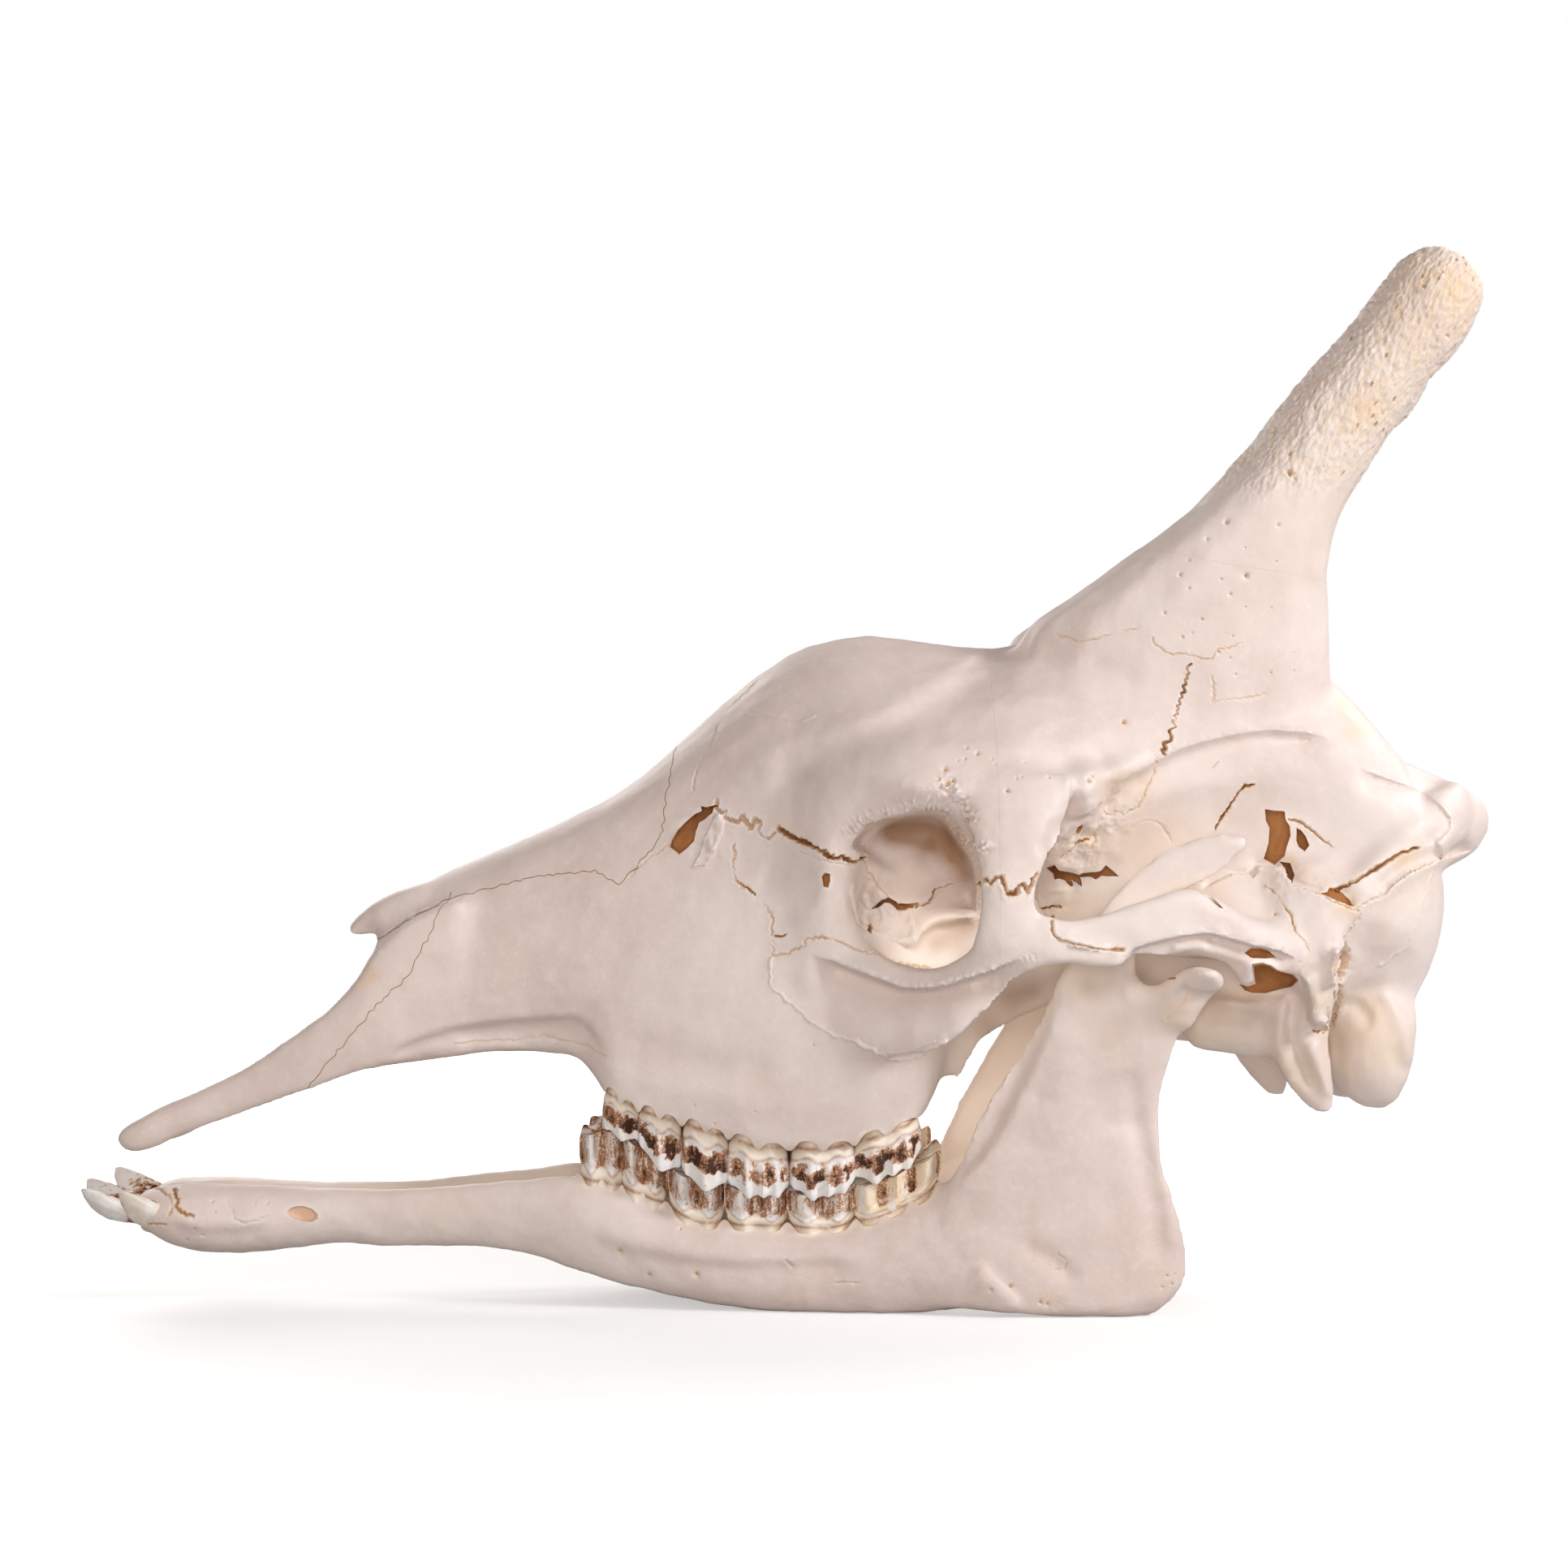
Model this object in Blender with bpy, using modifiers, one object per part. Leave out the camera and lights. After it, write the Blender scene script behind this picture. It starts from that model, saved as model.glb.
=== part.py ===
# Giraffe skull with its lower jaw, life size, resting on the jaw as it lies on a table.
# Metres, +Z up, +X towards the nape, the animal's left side at -Y. The floor is z = 0.
# The tables below are in millimetres: x along the skull, out from the midplane, z above the floor.
import math

import bmesh
import bpy
from mathutils import Matrix, Vector

MM = 0.001
GAP = 0.3  # between bones that touch
SIDES = (-1, 1)  # the animal's left, then its right

BONE_COLOUR = (0.80, 0.70, 0.60, 1.0)
HORN_COLOUR = (0.76, 0.66, 0.55, 1.0)
BONE_ROUGHNESS = 0.6

# Lines of the braincase and face, each from the muzzle to the nape.
# The crown is the profile of the midline: nasal bones, forehead boss, nape.
CROWN = [(-192, 188), (-160, 204), (-104, 228), (-73, 245), (-41, 273), (-10, 299), (13, 312),
         (41, 317), (68, 314), (99, 310), (130, 317), (180, 330), (215, 328), (245, 309),
         (268, 288), (286, 266), (302, 248), (312, 206)]
SHOULDER = [(-192, 15, 184), (-120, 20, 215), (-78, 27, 234), (-40, 34, 259), (0, 42, 287),
            (34, 48, 295), (76, 52, 294), (125, 52, 302), (180, 46, 320), (215, 42, 316),
            (245, 38, 299), (290, 34, 255), (302, 28, 232), (312, 14, 204)]
# The brow runs along the snout, out over the orbit, and back as the temporal line.
BROW = [(-192, 25, 171), (-120, 32, 199), (-78, 39, 214), (-40, 48, 230), (0, 62, 247),
        (34, 86, 244), (64, 100, 239), (100, 103, 237), (125, 92, 238), (150, 80, 247),
        (180, 72, 259), (215, 66, 263), (245, 62, 257), (290, 56, 231), (302, 46, 215), (312, 22, 199)]
# The waist is the side of the face, the inner wall of the orbit, and the temporal fossa.
WAIST = [(-192, 33, 153), (-120, 40, 172), (-78, 47, 186), (-40, 54, 198), (0, 64, 206),
         (22, 78, 205), (34, 68, 200), (50, 50, 198), (76, 46, 195), (125, 50, 196),
         (180, 54, 210), (245, 58, 214), (290, 62, 203), (302, 52, 194), (312, 26, 190)]
CHEEK = [(-192, 35, 132), (-120, 41, 144), (-78, 51, 145), (-40, 61, 147), (0, 68, 149),
         (34, 74, 152), (64, 62, 150), (76, 48, 156), (100, 42, 160), (150, 48, 168),
         (180, 60, 172), (215, 72, 176), (268, 72, 182), (292, 60, 174), (302, 48, 174), (312, 24, 181)]
# The outer and inner edges of the tooth-bearing ridge, and then of the skull's base.
GUM = [(-192, 30, 113), (-120, 32, 120), (-93, 38, 117), (-81, 50, 100), (-72, 52, 93), (-38, 57, 85),
       (-10, 60, 77), (15, 61, 76), (40, 60, 79), (60, 56, 88), (72, 44, 105), (82, 32, 134),
       (100, 28, 144), (150, 30, 152), (180, 36, 149), (245, 50, 146), (292, 42, 148), (302, 34, 156), (312, 18, 174)]
LINGUAL = [(-192, 20, 112), (-120, 20, 121), (-93, 24, 119), (-81, 29, 102), (-72, 29, 94), (-38, 31, 87),
           (-10, 33, 79), (15, 34, 79), (40, 33, 82), (60, 31, 90), (72, 27, 106), (82, 24, 136),
           (100, 20, 148), (150, 16, 150), (180, 18, 140), (245, 26, 131), (292, 24, 138), (302, 18, 148), (312, 10, 171)]
KEEL = [(-192, 115), (-120, 121), (-78, 120), (-40, 114), (22, 112), (64, 122), (82, 148),
        (125, 154), (150, 148), (180, 137), (215, 129), (268, 129), (292, 134), (302, 146), (312, 170)]
BODY_LINES = (SHOULDER, BROW, WAIST, CHEEK, GUM, LINGUAL)
BODY_STEP = 7

# Blades: each row is one edge (x, z), the other edge (x, z), out, and half the thickness.
OSSICONE = [(104, 287, 256, 264, 36, 32), (112, 315, 256, 300, 40, 32), (133, 330, 254, 327, 44, 31),
            (158, 348, 253, 346, 48, 30), (187, 369, 257, 366, 51, 28), (214, 398, 266, 383, 54, 26),
            (229, 418, 275, 397, 57, 23), (246, 438, 285, 413, 59, 22), (263, 457, 296, 428, 61, 21),
            (275, 474, 310, 442, 63, 21), (284, 484, 317, 456, 65, 19), (294, 488, 320, 468, 66, 15),
            (304, 486, 317, 477, 66, 7)]
# The right one is raked back a little more than the left.
OSSICONE_RAKE = {-1: 0.0, 1: 0.05}
OSSICONE_ROOT = (180, 300)
PREMAXILLA = [(-150, 193, -150, 121, 33, 6), (-175, 183, -178, 114, 33, 5), (-193, 166, -192, 109, 33, 5),
              (-205, 148, -206, 105, 32, 5), (-224, 132, -224, 99, 30, 5), (-255, 111, -254, 89, 27, 5),
              (-286, 97, -282, 79, 25, 6), (-303, 88, -298, 72, 26, 7), (-314, 81, -311, 71, 27, 5)]
NASAL_TIP = [(-170, 199, -170, 187, 11, 9), (-192, 191, -190, 176, 10, 8), (-208, 177, -204, 166, 9, 6),
             (-219, 163, -215, 157, 8, 4)]
JUGAL = [(-16, 160, -10, 140, 50, 7), (10, 168, 14, 128, 60, 9), (35, 170, 38, 119, 72, 9),
         (58, 161, 64, 120, 83, 9), (76, 163, 80, 129, 93, 8), (90, 174, 95, 144, 99, 7),
         (104, 184, 106, 156, 104, 6), (120, 183, 121, 161, 106, 5), (138, 173, 138, 160, 106, 5),
         (152, 165, 152, 159, 105, 3)]
POSTORBITAL = [(80, 246, 130, 246, 94, 8), (82, 224, 127, 224, 101, 8), (86, 206, 117, 206, 105, 6),
               (87, 192, 112, 192, 106, 6), (86, 180, 114, 180, 106, 6), (82, 166, 122, 166, 104, 6)]
ZYGOMATIC = [(122, 181, 124, 167, 102, 4), (140, 184, 140, 168, 102, 5), (162, 191, 162, 164, 100, 7),
             (180, 196, 180, 166, 96, 9), (196, 190, 196, 163, 90, 13), (212, 182, 212, 158, 84, 15),
             (232, 178, 230, 152, 74, 16)]
GLENOID = [(171, 174, 171, 167, 86, 10), (179, 181, 178, 164, 78, 20), (190, 183, 190, 164, 76, 24),
           (202, 182, 202, 162, 76, 24), (213, 178, 213, 160, 72, 22)]
POSTGLENOID = [(200, 168, 214, 168, 84, 10), (203, 158, 213, 158, 86, 7), (206, 150, 210, 150, 87, 3)]
MASTOID = [(222, 206, 258, 208, 58, 10), (222, 188, 260, 190, 67, 12), (232, 164, 254, 170, 76, 9),
           (236, 149, 251, 153, 78, 6), (238, 138, 248, 138, 77, 5), (240, 132, 246, 132, 76, 2)]
PARACONDYLAR = [(216, 160, 258, 160, 58, 12), (222, 136, 252, 136, 60, 9), (224, 120, 251, 121, 60, 7),
                (232, 104, 255, 103, 58, 5), (243, 92, 254, 90, 57, 3)]
BULLA = [(180, 150, 184, 130, 44, 6), (192, 152, 191, 121, 48, 10), (206, 152, 205, 119, 50, 12),
         (220, 152, 219, 117, 50, 11), (232, 152, 228, 121, 48, 9)]
CONDYLE = [(262, 160, 294, 156, 30, 14), (257, 136, 297, 133, 35, 18), (255, 115, 294, 113, 36, 18),
           (261, 101, 289, 98, 34, 14), (270, 94, 281, 92, 33, 6)]
PTERYGOID = [(58, 146, 62, 118, 30, 4), (72, 152, 76, 108, 28, 4), (86, 158, 84, 102, 26, 3),
             (98, 162, 94, 121, 25, 3), (116, 164, 110, 131, 24, 3), (140, 160, 134, 143, 24, 5)]
# Bars: each row is the middle (x, out, z), and half the height and half the thickness across the run.
NUCHAL_CREST = [(320, 0, 228, 17, 9), (317, 22, 231, 16, 9), (306, 42, 226, 14, 9), (288, 58, 211, 12, 8),
                (268, 67, 196, 10, 8), (252, 72, 184, 8, 7)]
# The nape's lip and the nose cavity lie on the midplane.
NAPE = [(280, 264, 280, 190, 0, 46), (300, 256, 300, 196, 0, 38), (318, 248, 320, 206, 0, 28),
        (331, 242, 332, 213, 0, 18), (338, 234, 338, 222, 0, 8)]
# Cutters: the eye socket, the cavity of the nose, the ear's opening and the way to the spine.
SOCKET_RIM = [(29, 193), (36, 215), (52, 228), (74, 230), (84, 214), (88, 190), (80, 170), (58, 161), (38, 170)]
SOCKET_MIDDLE = (60, 196)
SOCKET_DEPTHS = [(130, 1.0), (90, 1.0), (70, 0.95), (58, 0.75), (52, 0.4)]  # how far out, and the size there
NOSE_CAVITY = [(-236, 178, -236, 112, 0, 29), (-196, 178, -196, 119, 0, 27), (-160, 196, -160, 130, 0, 25),
               (-124, 203, -124, 138, 0, 18), (-100, 196, -100, 150, 0, 6)]
EAR = [(214, 163, 232, 160, 92, 2), (213, 166, 234, 156, 70, 14), (216, 161, 230, 154, 54, 6)]
FORAMEN_MAGNUM = [(334, 156, 334, 118, 0, 17), (300, 156, 300, 120, 0, 17), (270, 156, 268, 128, 0, 12)]

# Lower jaw, one half.
JAW_BODY = [(-306, 50, -304, 37, 15, 12), (-299, 54, -296, 30, 17, 17), (-284, 56, -280, 24, 17, 20),
            (-263, 56, -256, 22, 15, 18), (-228, 54, -226, 25, 13, 14), (-206, 54, -206, 27, 15, 10),
            (-186, 54, -188, 25, 18, 8), (-150, 57, -150, 26, 23, 8), (-119, 60, -120, 23, 28, 9),
            (-96, 62, -97, 16, 32, 11), (-75, 54, -75, 10, 35, 13), (-45, 42, -46, 4, 39, 14),
            (-12, 39, -14, -1, 42, 15), (20, 38, 20, -4, 45, 15), (50, 48, 48, -4, 49, 14),
            (76, 62, 72, 0, 54, 12), (96, 67, 92, 3, 58, 9)]
RAMUS = [(66, 4, 168, -3, 60, 8), (60, 17, 183, 8, 61, 9), (64, 31, 188, 20, 61, 9),
         (70, 48, 186, 38, 62, 8), (78, 69, 178, 62, 63, 8), (92, 98, 174, 92, 66, 7),
         (107, 122, 179, 118, 71, 7), (118, 144, 183, 136, 76, 6), (124, 156, 184, 146, 78, 6)]
CORONOID = [(120, 148, 164, 146, 77, 5), (125, 158, 162, 156, 77, 5), (133, 172, 163, 168, 79, 4),
            (142, 186, 168, 180, 80, 4), (153, 200, 178, 190, 80, 3), (168, 212, 192, 196, 80, 3),
            (184, 219, 202, 204, 79, 3), (198, 222, 209, 211, 79, 3), (211, 220, 214, 215, 78, 2)]
JAW_NECK = [(160, 140, 186, 130, 77, 6), (166, 150, 190, 140, 80, 7), (176, 157, 196, 148, 84, 10),
            (180, 160, 200, 152, 87, 14), (184, 161, 197, 158, 87, 14)]
SEAT_SPACE = 1.0  # room for the jaw's joint in the skull

# Where the rows of cheek teeth meet: x, and z at the outer edge of the upper ones.
BITE = [(-98, 73), (-88, 75), (-80, 76), (-73, 74), (-57, 63), (-38, 56), (-12, 53), (18, 53), (45, 60), (60, 67), (76, 76)]
BITE_EDGE = 54  # how far out that is
BITE_SLOPE = 0.4  # the chewing surface rises inwards
UPPER_GUMS = [(-86, 98), (-73, 93), (-38, 85), (-12, 77), (16, 76), (35, 79), (57, 87), (66, 94)]
LOWER_GUMS = [(-96, 60), (-75, 56), (-57, 49), (-40, 40), (0, 39), (20, 38), (45, 44), (60, 51), (74, 60)]
ROOT = 12  # from the gum into the bone
TOOTH_LAP = 1.0  # how far neighbouring lobes run into each other
# Each tooth: x of its front and back, its outer face, its width across, and its lobes.
UPPER_TEETH = [(-84, -67, 46, 16, 1), (-67.5, -47.5, 50, 20, 1), (-47, -25.5, 54, 24, 1),
               (-26, 2, 57, 27, 2), (3, 33, 58, 28, 2), (32, 63, 56, 25, 2)]
LOWER_TEETH = [(-95, -75, 39, 12, 1), (-76, -55, 43, 15, 1), (-53.5, -28, 47, 18, 2),
               (-27, 1.5, 50, 19, 2), (2, 33.5, 52, 19, 2), (32, 72, 54, 17, 3)]
# Front teeth: the tip (x, out, z), the neck, half the breadth and half the thickness.
INCISORS = [((-336, 9, 51), (-306, 9, 37), 8, 5), ((-318, 25, 50), (-288, 20, 36), 8, 5)]

# Sutures along which the bones part, as seen from the side.
NASAL_SUTURE = [(-240, 144), (-206, 162), (-193, 171), (-160, 191), (-118, 203), (-88, 207), (-57, 219), (-46, 310)]
PREMAXILLA_SUTURE = [(-157, 194), (-164, 177), (-176, 154), (-190, 141), (-210, 118), (-232, 92)]
OSSICONE_SUTURE = [(110, 364), (200, 342), (300, 330)]

BONE_VOXEL = 2.4
FILLET = 3.0  # creases between pieces are filled to about this radius
SMOOTHING = 3
SKULL_FACES = 8000
JAW_FACES = 1700
WELD = 0.005
REACH = 150  # half the breadth of a cutter that goes right across


def clear_scene():
    for thing in list(bpy.data.objects):
        bpy.data.objects.remove(thing)


def material(name, colour):
    made = bpy.data.materials.new(name)
    made.use_nodes = True
    shader = made.node_tree.nodes["Principled BSDF"]
    shader.inputs["Base Color"].default_value = colour
    shader.inputs["Roughness"].default_value = BONE_ROUGHNESS
    shader.inputs["Metallic"].default_value = 0.0
    made.diffuse_color = colour
    return made


def slope(before, here, after):
    """Monotone slope at a point of a line, from its neighbours."""
    left = (here[1] - before[1]) / (here[0] - before[0])
    right = (after[1] - here[1]) / (after[0] - here[0])
    return 0.0 if left * right <= 0 else 2 * left * right / (left + right)


def along(line, column, x):
    """The value in this column of a line at x, on a smooth curve that doesn't overshoot."""
    pts = [(row[0], row[column]) for row in line]
    last = len(pts) - 1
    i = max(0, min(last - 1, sum(p[0] <= x for p in pts) - 1))
    (x0, v0), (x1, v1) = pts[i], pts[i + 1]
    chord = (v1 - v0) / (x1 - x0)
    s0 = slope(pts[i - 1], pts[i], pts[i + 1]) if i > 0 else chord
    s1 = slope(pts[i], pts[i + 1], pts[i + 2]) if i + 2 <= last else chord
    t = (x - x0) / (x1 - x0)
    gap = x1 - x0
    return ((2 * t ** 3 - 3 * t ** 2 + 1) * v0 + (t ** 3 - 2 * t ** 2 + t) * gap * s0
            + (3 * t ** 2 - 2 * t ** 3) * v1 + (t ** 3 - t ** 2) * gap * s1)


def curve_point(a, b, c, d, t):
    """Catmull-Rom between b and c, for tuples of numbers."""
    return tuple(
        0.5 * (2 * q + (r - p) * t + (2 * p - 5 * q + 4 * r - s) * t * t + (3 * q - p - 3 * r + s) * t ** 3)
        for p, q, r, s in zip(a, b, c, d))


def resampled(rows, steps):
    """The rows of an open run, with this many steps between each two."""
    run = [rows[0], *rows, rows[-1]]
    made = [curve_point(*run[i:i + 4], k / steps) for i in range(len(rows) - 1) for k in range(steps)]
    return [*made, rows[-1]]


def closed_curve(corners, steps):
    n = len(corners)
    return [curve_point(corners[i - 1], corners[i], corners[(i + 1) % n], corners[(i + 2) % n], k / steps)
            for i in range(n) for k in range(steps)]


def loft(name, rings):
    """A closed mesh through rings of (x, y, z) in millimetres, its ends closed by fans."""
    bm = bmesh.new()
    loops = [[bm.verts.new(Vector(p) * MM) for p in ring] for ring in rings]
    n = len(loops[0])
    for low, high in zip(loops, loops[1:]):
        for i in range(n):
            bm.faces.new((low[i], low[(i + 1) % n], high[(i + 1) % n], high[i]))
    for loop in (loops[0], loops[-1]):
        middle = bm.verts.new(sum((v.co for v in loop), Vector()) / n)
        for i in range(n):
            bm.faces.new((loop[i], loop[(i + 1) % n], middle))
    bmesh.ops.recalc_face_normals(bm, faces=bm.faces)
    mesh = bpy.data.meshes.new(name)
    bm.to_mesh(mesh)
    bm.free()
    made = bpy.data.objects.new(name, mesh)
    bpy.context.scene.collection.objects.link(made)
    return made


def blade(name, rows, side, steps=3, around=14):
    """A bone given by its two edges as seen from the side, its distance out and its half thickness."""
    rings = []
    for xa, za, xb, zb, out, half in resampled(rows, steps):
        middle = Vector(((xa + xb) / 2, side * out, (za + zb) / 2))
        reach = Vector(((xa - xb) / 2, 0, (za - zb) / 2))
        turn = [2 * math.pi * k / around for k in range(around)]
        rings.append([middle + reach * math.cos(t) + Vector((0, half, 0)) * math.sin(t) for t in turn])
    return loft(name, rings)


def braincase_and_face():
    """The main body: rings across the skull, each through the eight lines."""
    rings = []
    first, last = CROWN[0][0], CROWN[-1][0]
    count = round((last - first) / BODY_STEP)
    for k in range(count + 1):
        x = first + (last - first) * k / count
        half = [(along(line, 1, x), along(line, 2, x)) for line in BODY_LINES]
        crown, keel = (0.0, along(CROWN, 1, x)), (0.0, along(KEEL, 1, x))
        corners = [crown, *half, keel, *[(-y, z) for y, z in reversed(half)]]
        rings.append([(x, y, z) for y, z in closed_curve(corners, 3)])
    return loft("body", rings)


def bar(name, rows, side, steps=3, around=12):
    """A rounded bar along a run of middles, with half its height and half its thickness at each."""
    runs = resampled([(x, side * out, z, high, thick) for x, out, z, high, thick in rows], steps)
    rings = []
    for i, (x, y, z, high, thick) in enumerate(runs):
        before, after = runs[max(i - 1, 0)], runs[min(i + 1, len(runs) - 1)]
        along_run = (Vector(after[:3]) - Vector(before[:3])).normalized()
        across = along_run.cross(Vector((0, 0, 1))).normalized()
        up = across.cross(along_run)
        turn = [2 * math.pi * k / around for k in range(around)]
        rings.append([Vector((x, y, z)) + up * high * math.cos(t) + across * thick * math.sin(t) for t in turn])
    return loft(name, rings)


def sheet(name, line, inner=-REACH, outer=REACH):
    """A thin cutter through a line seen from the side, from one distance across to another."""
    rings = []
    for i, (x, z) in enumerate(line):
        before, after = line[max(i - 1, 0)], line[min(i + 1, len(line) - 1)]
        run = Vector((after[0] - before[0], after[1] - before[1])).normalized()
        dx, dz = -run.y * GAP / 2, run.x * GAP / 2
        near, far = (x + dx, z + dz), (x - dx, z - dz)
        rings.append([(px, y, pz) for (px, pz), y in ((near, inner), (far, inner), (far, outer), (near, outer))])
    return loft(name, rings)


def socket_cutter(side):
    """The eye socket, from its rim in to its floor."""
    rings = []
    for out, size in SOCKET_DEPTHS:
        ring = [(SOCKET_MIDDLE[0] + (x - SOCKET_MIDDLE[0]) * size, side * out,
                 SOCKET_MIDDLE[1] + (z - SOCKET_MIDDLE[1]) * size) for x, z in SOCKET_RIM]
        rings.append(closed_curve(ring, 3))
    return loft("socket", rings)


def bite(x, out):
    """Height of the chewing surface at a place in the tooth row."""
    return along(BITE, 1, x) + BITE_SLOPE * (BITE_EDGE - out)


def tooth_lobe(front, back, outer, width, side, up):
    """One lobe of a cheek tooth; up is 1 for the upper row, which hangs, and -1 for the lower."""
    middle, half = (front + back) / 2, (back - front) / 2 + TOOTH_LAP
    gums = along(UPPER_GUMS if up > 0 else LOWER_GUMS, 1, middle)
    # Each level: how far from the gum to the bite, size along the row, and size across it.
    levels = [(None, 0.6, 0.6), (0.0, 0.86, 0.84), (0.5, 1.0, 1.0), (1.0, 0.96, 0.92)]
    rings = []
    for share, long, wide in levels:
        ring = []
        for k in range(8):
            t = 2 * math.pi * k / 8
            x = middle + half * long * math.copysign(abs(math.cos(t)) ** 0.7, math.cos(t))
            out = outer - width / 2 + width / 2 * wide * math.copysign(abs(math.sin(t)) ** 0.7, math.sin(t))
            top = bite(x, out) + up * (0.5 + 2.5 * abs(math.cos(t)))
            ring.append((x, side * out, gums + up * ROOT if share is None else gums * (1 - share) + top * share))
        rings.append(ring)
    lobe = loft("lobe", rings)
    # The middle of the last ring's fan becomes the cusp, near the outer edge.
    lobe.data.vertices[-1].co = Vector((middle, side * (outer - 3), bite(middle, outer - 3) + up * 0.5)) * MM
    return lobe


def teeth(rows, side, up):
    made = []
    for front, back, outer, width, lobes in rows:
        length = (back - front) / lobes
        made += [tooth_lobe(front + k * length, front + (k + 1) * length, outer, width, side, up)
                 for k in range(lobes)]
    return made


def incisor(tip, neck, breadth, thick, side):
    """A spade-shaped front tooth, from its root in the jaw to its edge."""
    root = [n + (n - t) * 0.5 for t, n in zip(tip, neck)]
    rows = [(root, 0.4, 0.6), (neck, 0.6, 0.9), ([(a + b) / 2 for a, b in zip(tip, neck)], 1.0, 1.0), (tip, 0.9, 0.3)]
    rings = []
    for (x, out, z), wide, deep in rows:
        turn = [2 * math.pi * k / 10 for k in range(10)]
        rings.append([(x, side * out + breadth * wide * math.cos(t), z + thick * deep * math.sin(t)) for t in turn])
    return loft("incisor", rings)


def box(name, middle, size):
    bm = bmesh.new()
    bmesh.ops.create_cube(bm, size=1.0)
    for v in bm.verts:
        v.co = Vector([(m + c * s) * MM for m, c, s in zip(middle, v.co, size)])
    mesh = bpy.data.meshes.new(name)
    bm.to_mesh(mesh)
    bm.free()
    made = bpy.data.objects.new(name, mesh)
    bpy.context.scene.collection.objects.link(made)
    return made


def apply_modifiers(thing):
    graph = bpy.context.evaluated_depsgraph_get()
    mesh = bpy.data.meshes.new_from_object(thing.evaluated_get(graph))
    thing.modifiers.clear()
    thing.data = mesh
    return thing


def combine(thing, others, operation, solver="MANIFOLD"):
    """Joins the others to a thing or cuts them from it, and removes them."""
    group = bpy.data.collections.new("joined")
    for other in others:
        group.objects.link(other)
    boolean = thing.modifiers.new("combine", "BOOLEAN")
    boolean.operation = operation
    boolean.solver = solver
    boolean.operand_type = "COLLECTION"
    boolean.collection = group
    apply_modifiers(thing)
    for other in others:
        bpy.data.objects.remove(other)
    bpy.data.collections.remove(group)
    return thing


def surfaces(thing):
    """The closed surfaces of a mesh, as lists of its faces' indices, largest first."""
    bm = bmesh.new()
    bm.from_mesh(thing.data)
    bm.faces.ensure_lookup_table()
    seen, found = set(), []
    for start in bm.faces:
        if start.index in seen:
            continue
        seen.add(start.index)
        group, edge_of_search = [], [start]
        while edge_of_search:
            face = edge_of_search.pop()
            group.append(face.index)
            for edge in face.edges:
                for other in edge.link_faces:
                    if other.index not in seen:
                        seen.add(other.index)
                        edge_of_search.append(other)
        found.append(group)
    bm.free()
    return sorted(found, key=len, reverse=True)


def keep_faces(thing, wanted):
    """Keeps only these faces, by index."""
    bm = bmesh.new()
    bm.from_mesh(thing.data)
    wanted = set(wanted)
    bmesh.ops.delete(bm, geom=[f for f in bm.faces if f.index not in wanted], context="FACES")
    bm.to_mesh(thing.data)
    bm.free()


def keep_largest(thing):
    keep_faces(thing, surfaces(thing)[0])
    return thing


def tidy(thing):
    """Merges points that the cuts left almost on each other."""
    bm = bmesh.new()
    bm.from_mesh(thing.data)
    bmesh.ops.remove_doubles(bm, verts=bm.verts, dist=WELD * MM)
    bmesh.ops.dissolve_degenerate(bm, edges=bm.edges, dist=WELD * MM)
    bmesh.ops.triangulate(bm, faces=bm.faces)
    bm.to_mesh(thing.data)
    bm.free()
    return thing


def melt(thing):
    """Turns joined pieces into one even skin."""
    skin = thing.modifiers.new("melt", "REMESH")
    skin.mode = "VOXEL"
    skin.voxel_size = BONE_VOXEL * MM
    return apply_modifiers(thing)


def swell(thing, thickness):
    """Moves the skin out by this much, or in where it is negative."""
    offset = thing.modifiers.new("swell", "DISPLACE")
    offset.mid_level = 0.0
    offset.strength = thickness * MM
    return apply_modifiers(thing)


def smooth(thing):
    relax = thing.modifiers.new("smooth", "SMOOTH")
    relax.factor = 0.5
    relax.iterations = SMOOTHING
    return apply_modifiers(thing)


def soften(thing, faces):
    """Melts the joined pieces into one bone with filled creases, brought down to about this many triangles."""
    melt(thing)
    swell(thing, FILLET)
    melt(thing)
    swell(thing, -FILLET)
    smooth(thing)
    melt(thing)
    keep_largest(thing)
    thing.data.calc_loop_triangles()
    thin = thing.modifiers.new("thin", "DECIMATE")
    thin.ratio = faces / len(thing.data.loop_triangles)
    return apply_modifiers(thing)


def raked_ossicone(side):
    """The horn core, leaned back about its root."""
    rake = OSSICONE_RAKE[side]
    x0, z0 = OSSICONE_ROOT
    rows = [(xa + (za - z0) * rake, za - (xa - x0) * rake, xb + (zb - z0) * rake, zb - (xb - x0) * rake, out, half)
            for xa, za, xb, zb, out, half in OSSICONE]
    return blade("ossicone", rows, side)


def jaw_seat(side):
    """Room for the jaw's joint, a little larger than the joint itself."""
    rows = [(xa - SEAT_SPACE, za + SEAT_SPACE, xb + SEAT_SPACE, zb - SEAT_SPACE, out, half + SEAT_SPACE)
            for xa, za, xb, zb, out, half in JAW_NECK]
    last = rows[-1]
    top = (last[0] + 2, last[1] + SEAT_SPACE, last[2] - 2, last[3] + SEAT_SPACE, last[4], last[5] - 3)
    return blade("seat", [*rows, top], side)


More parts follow.
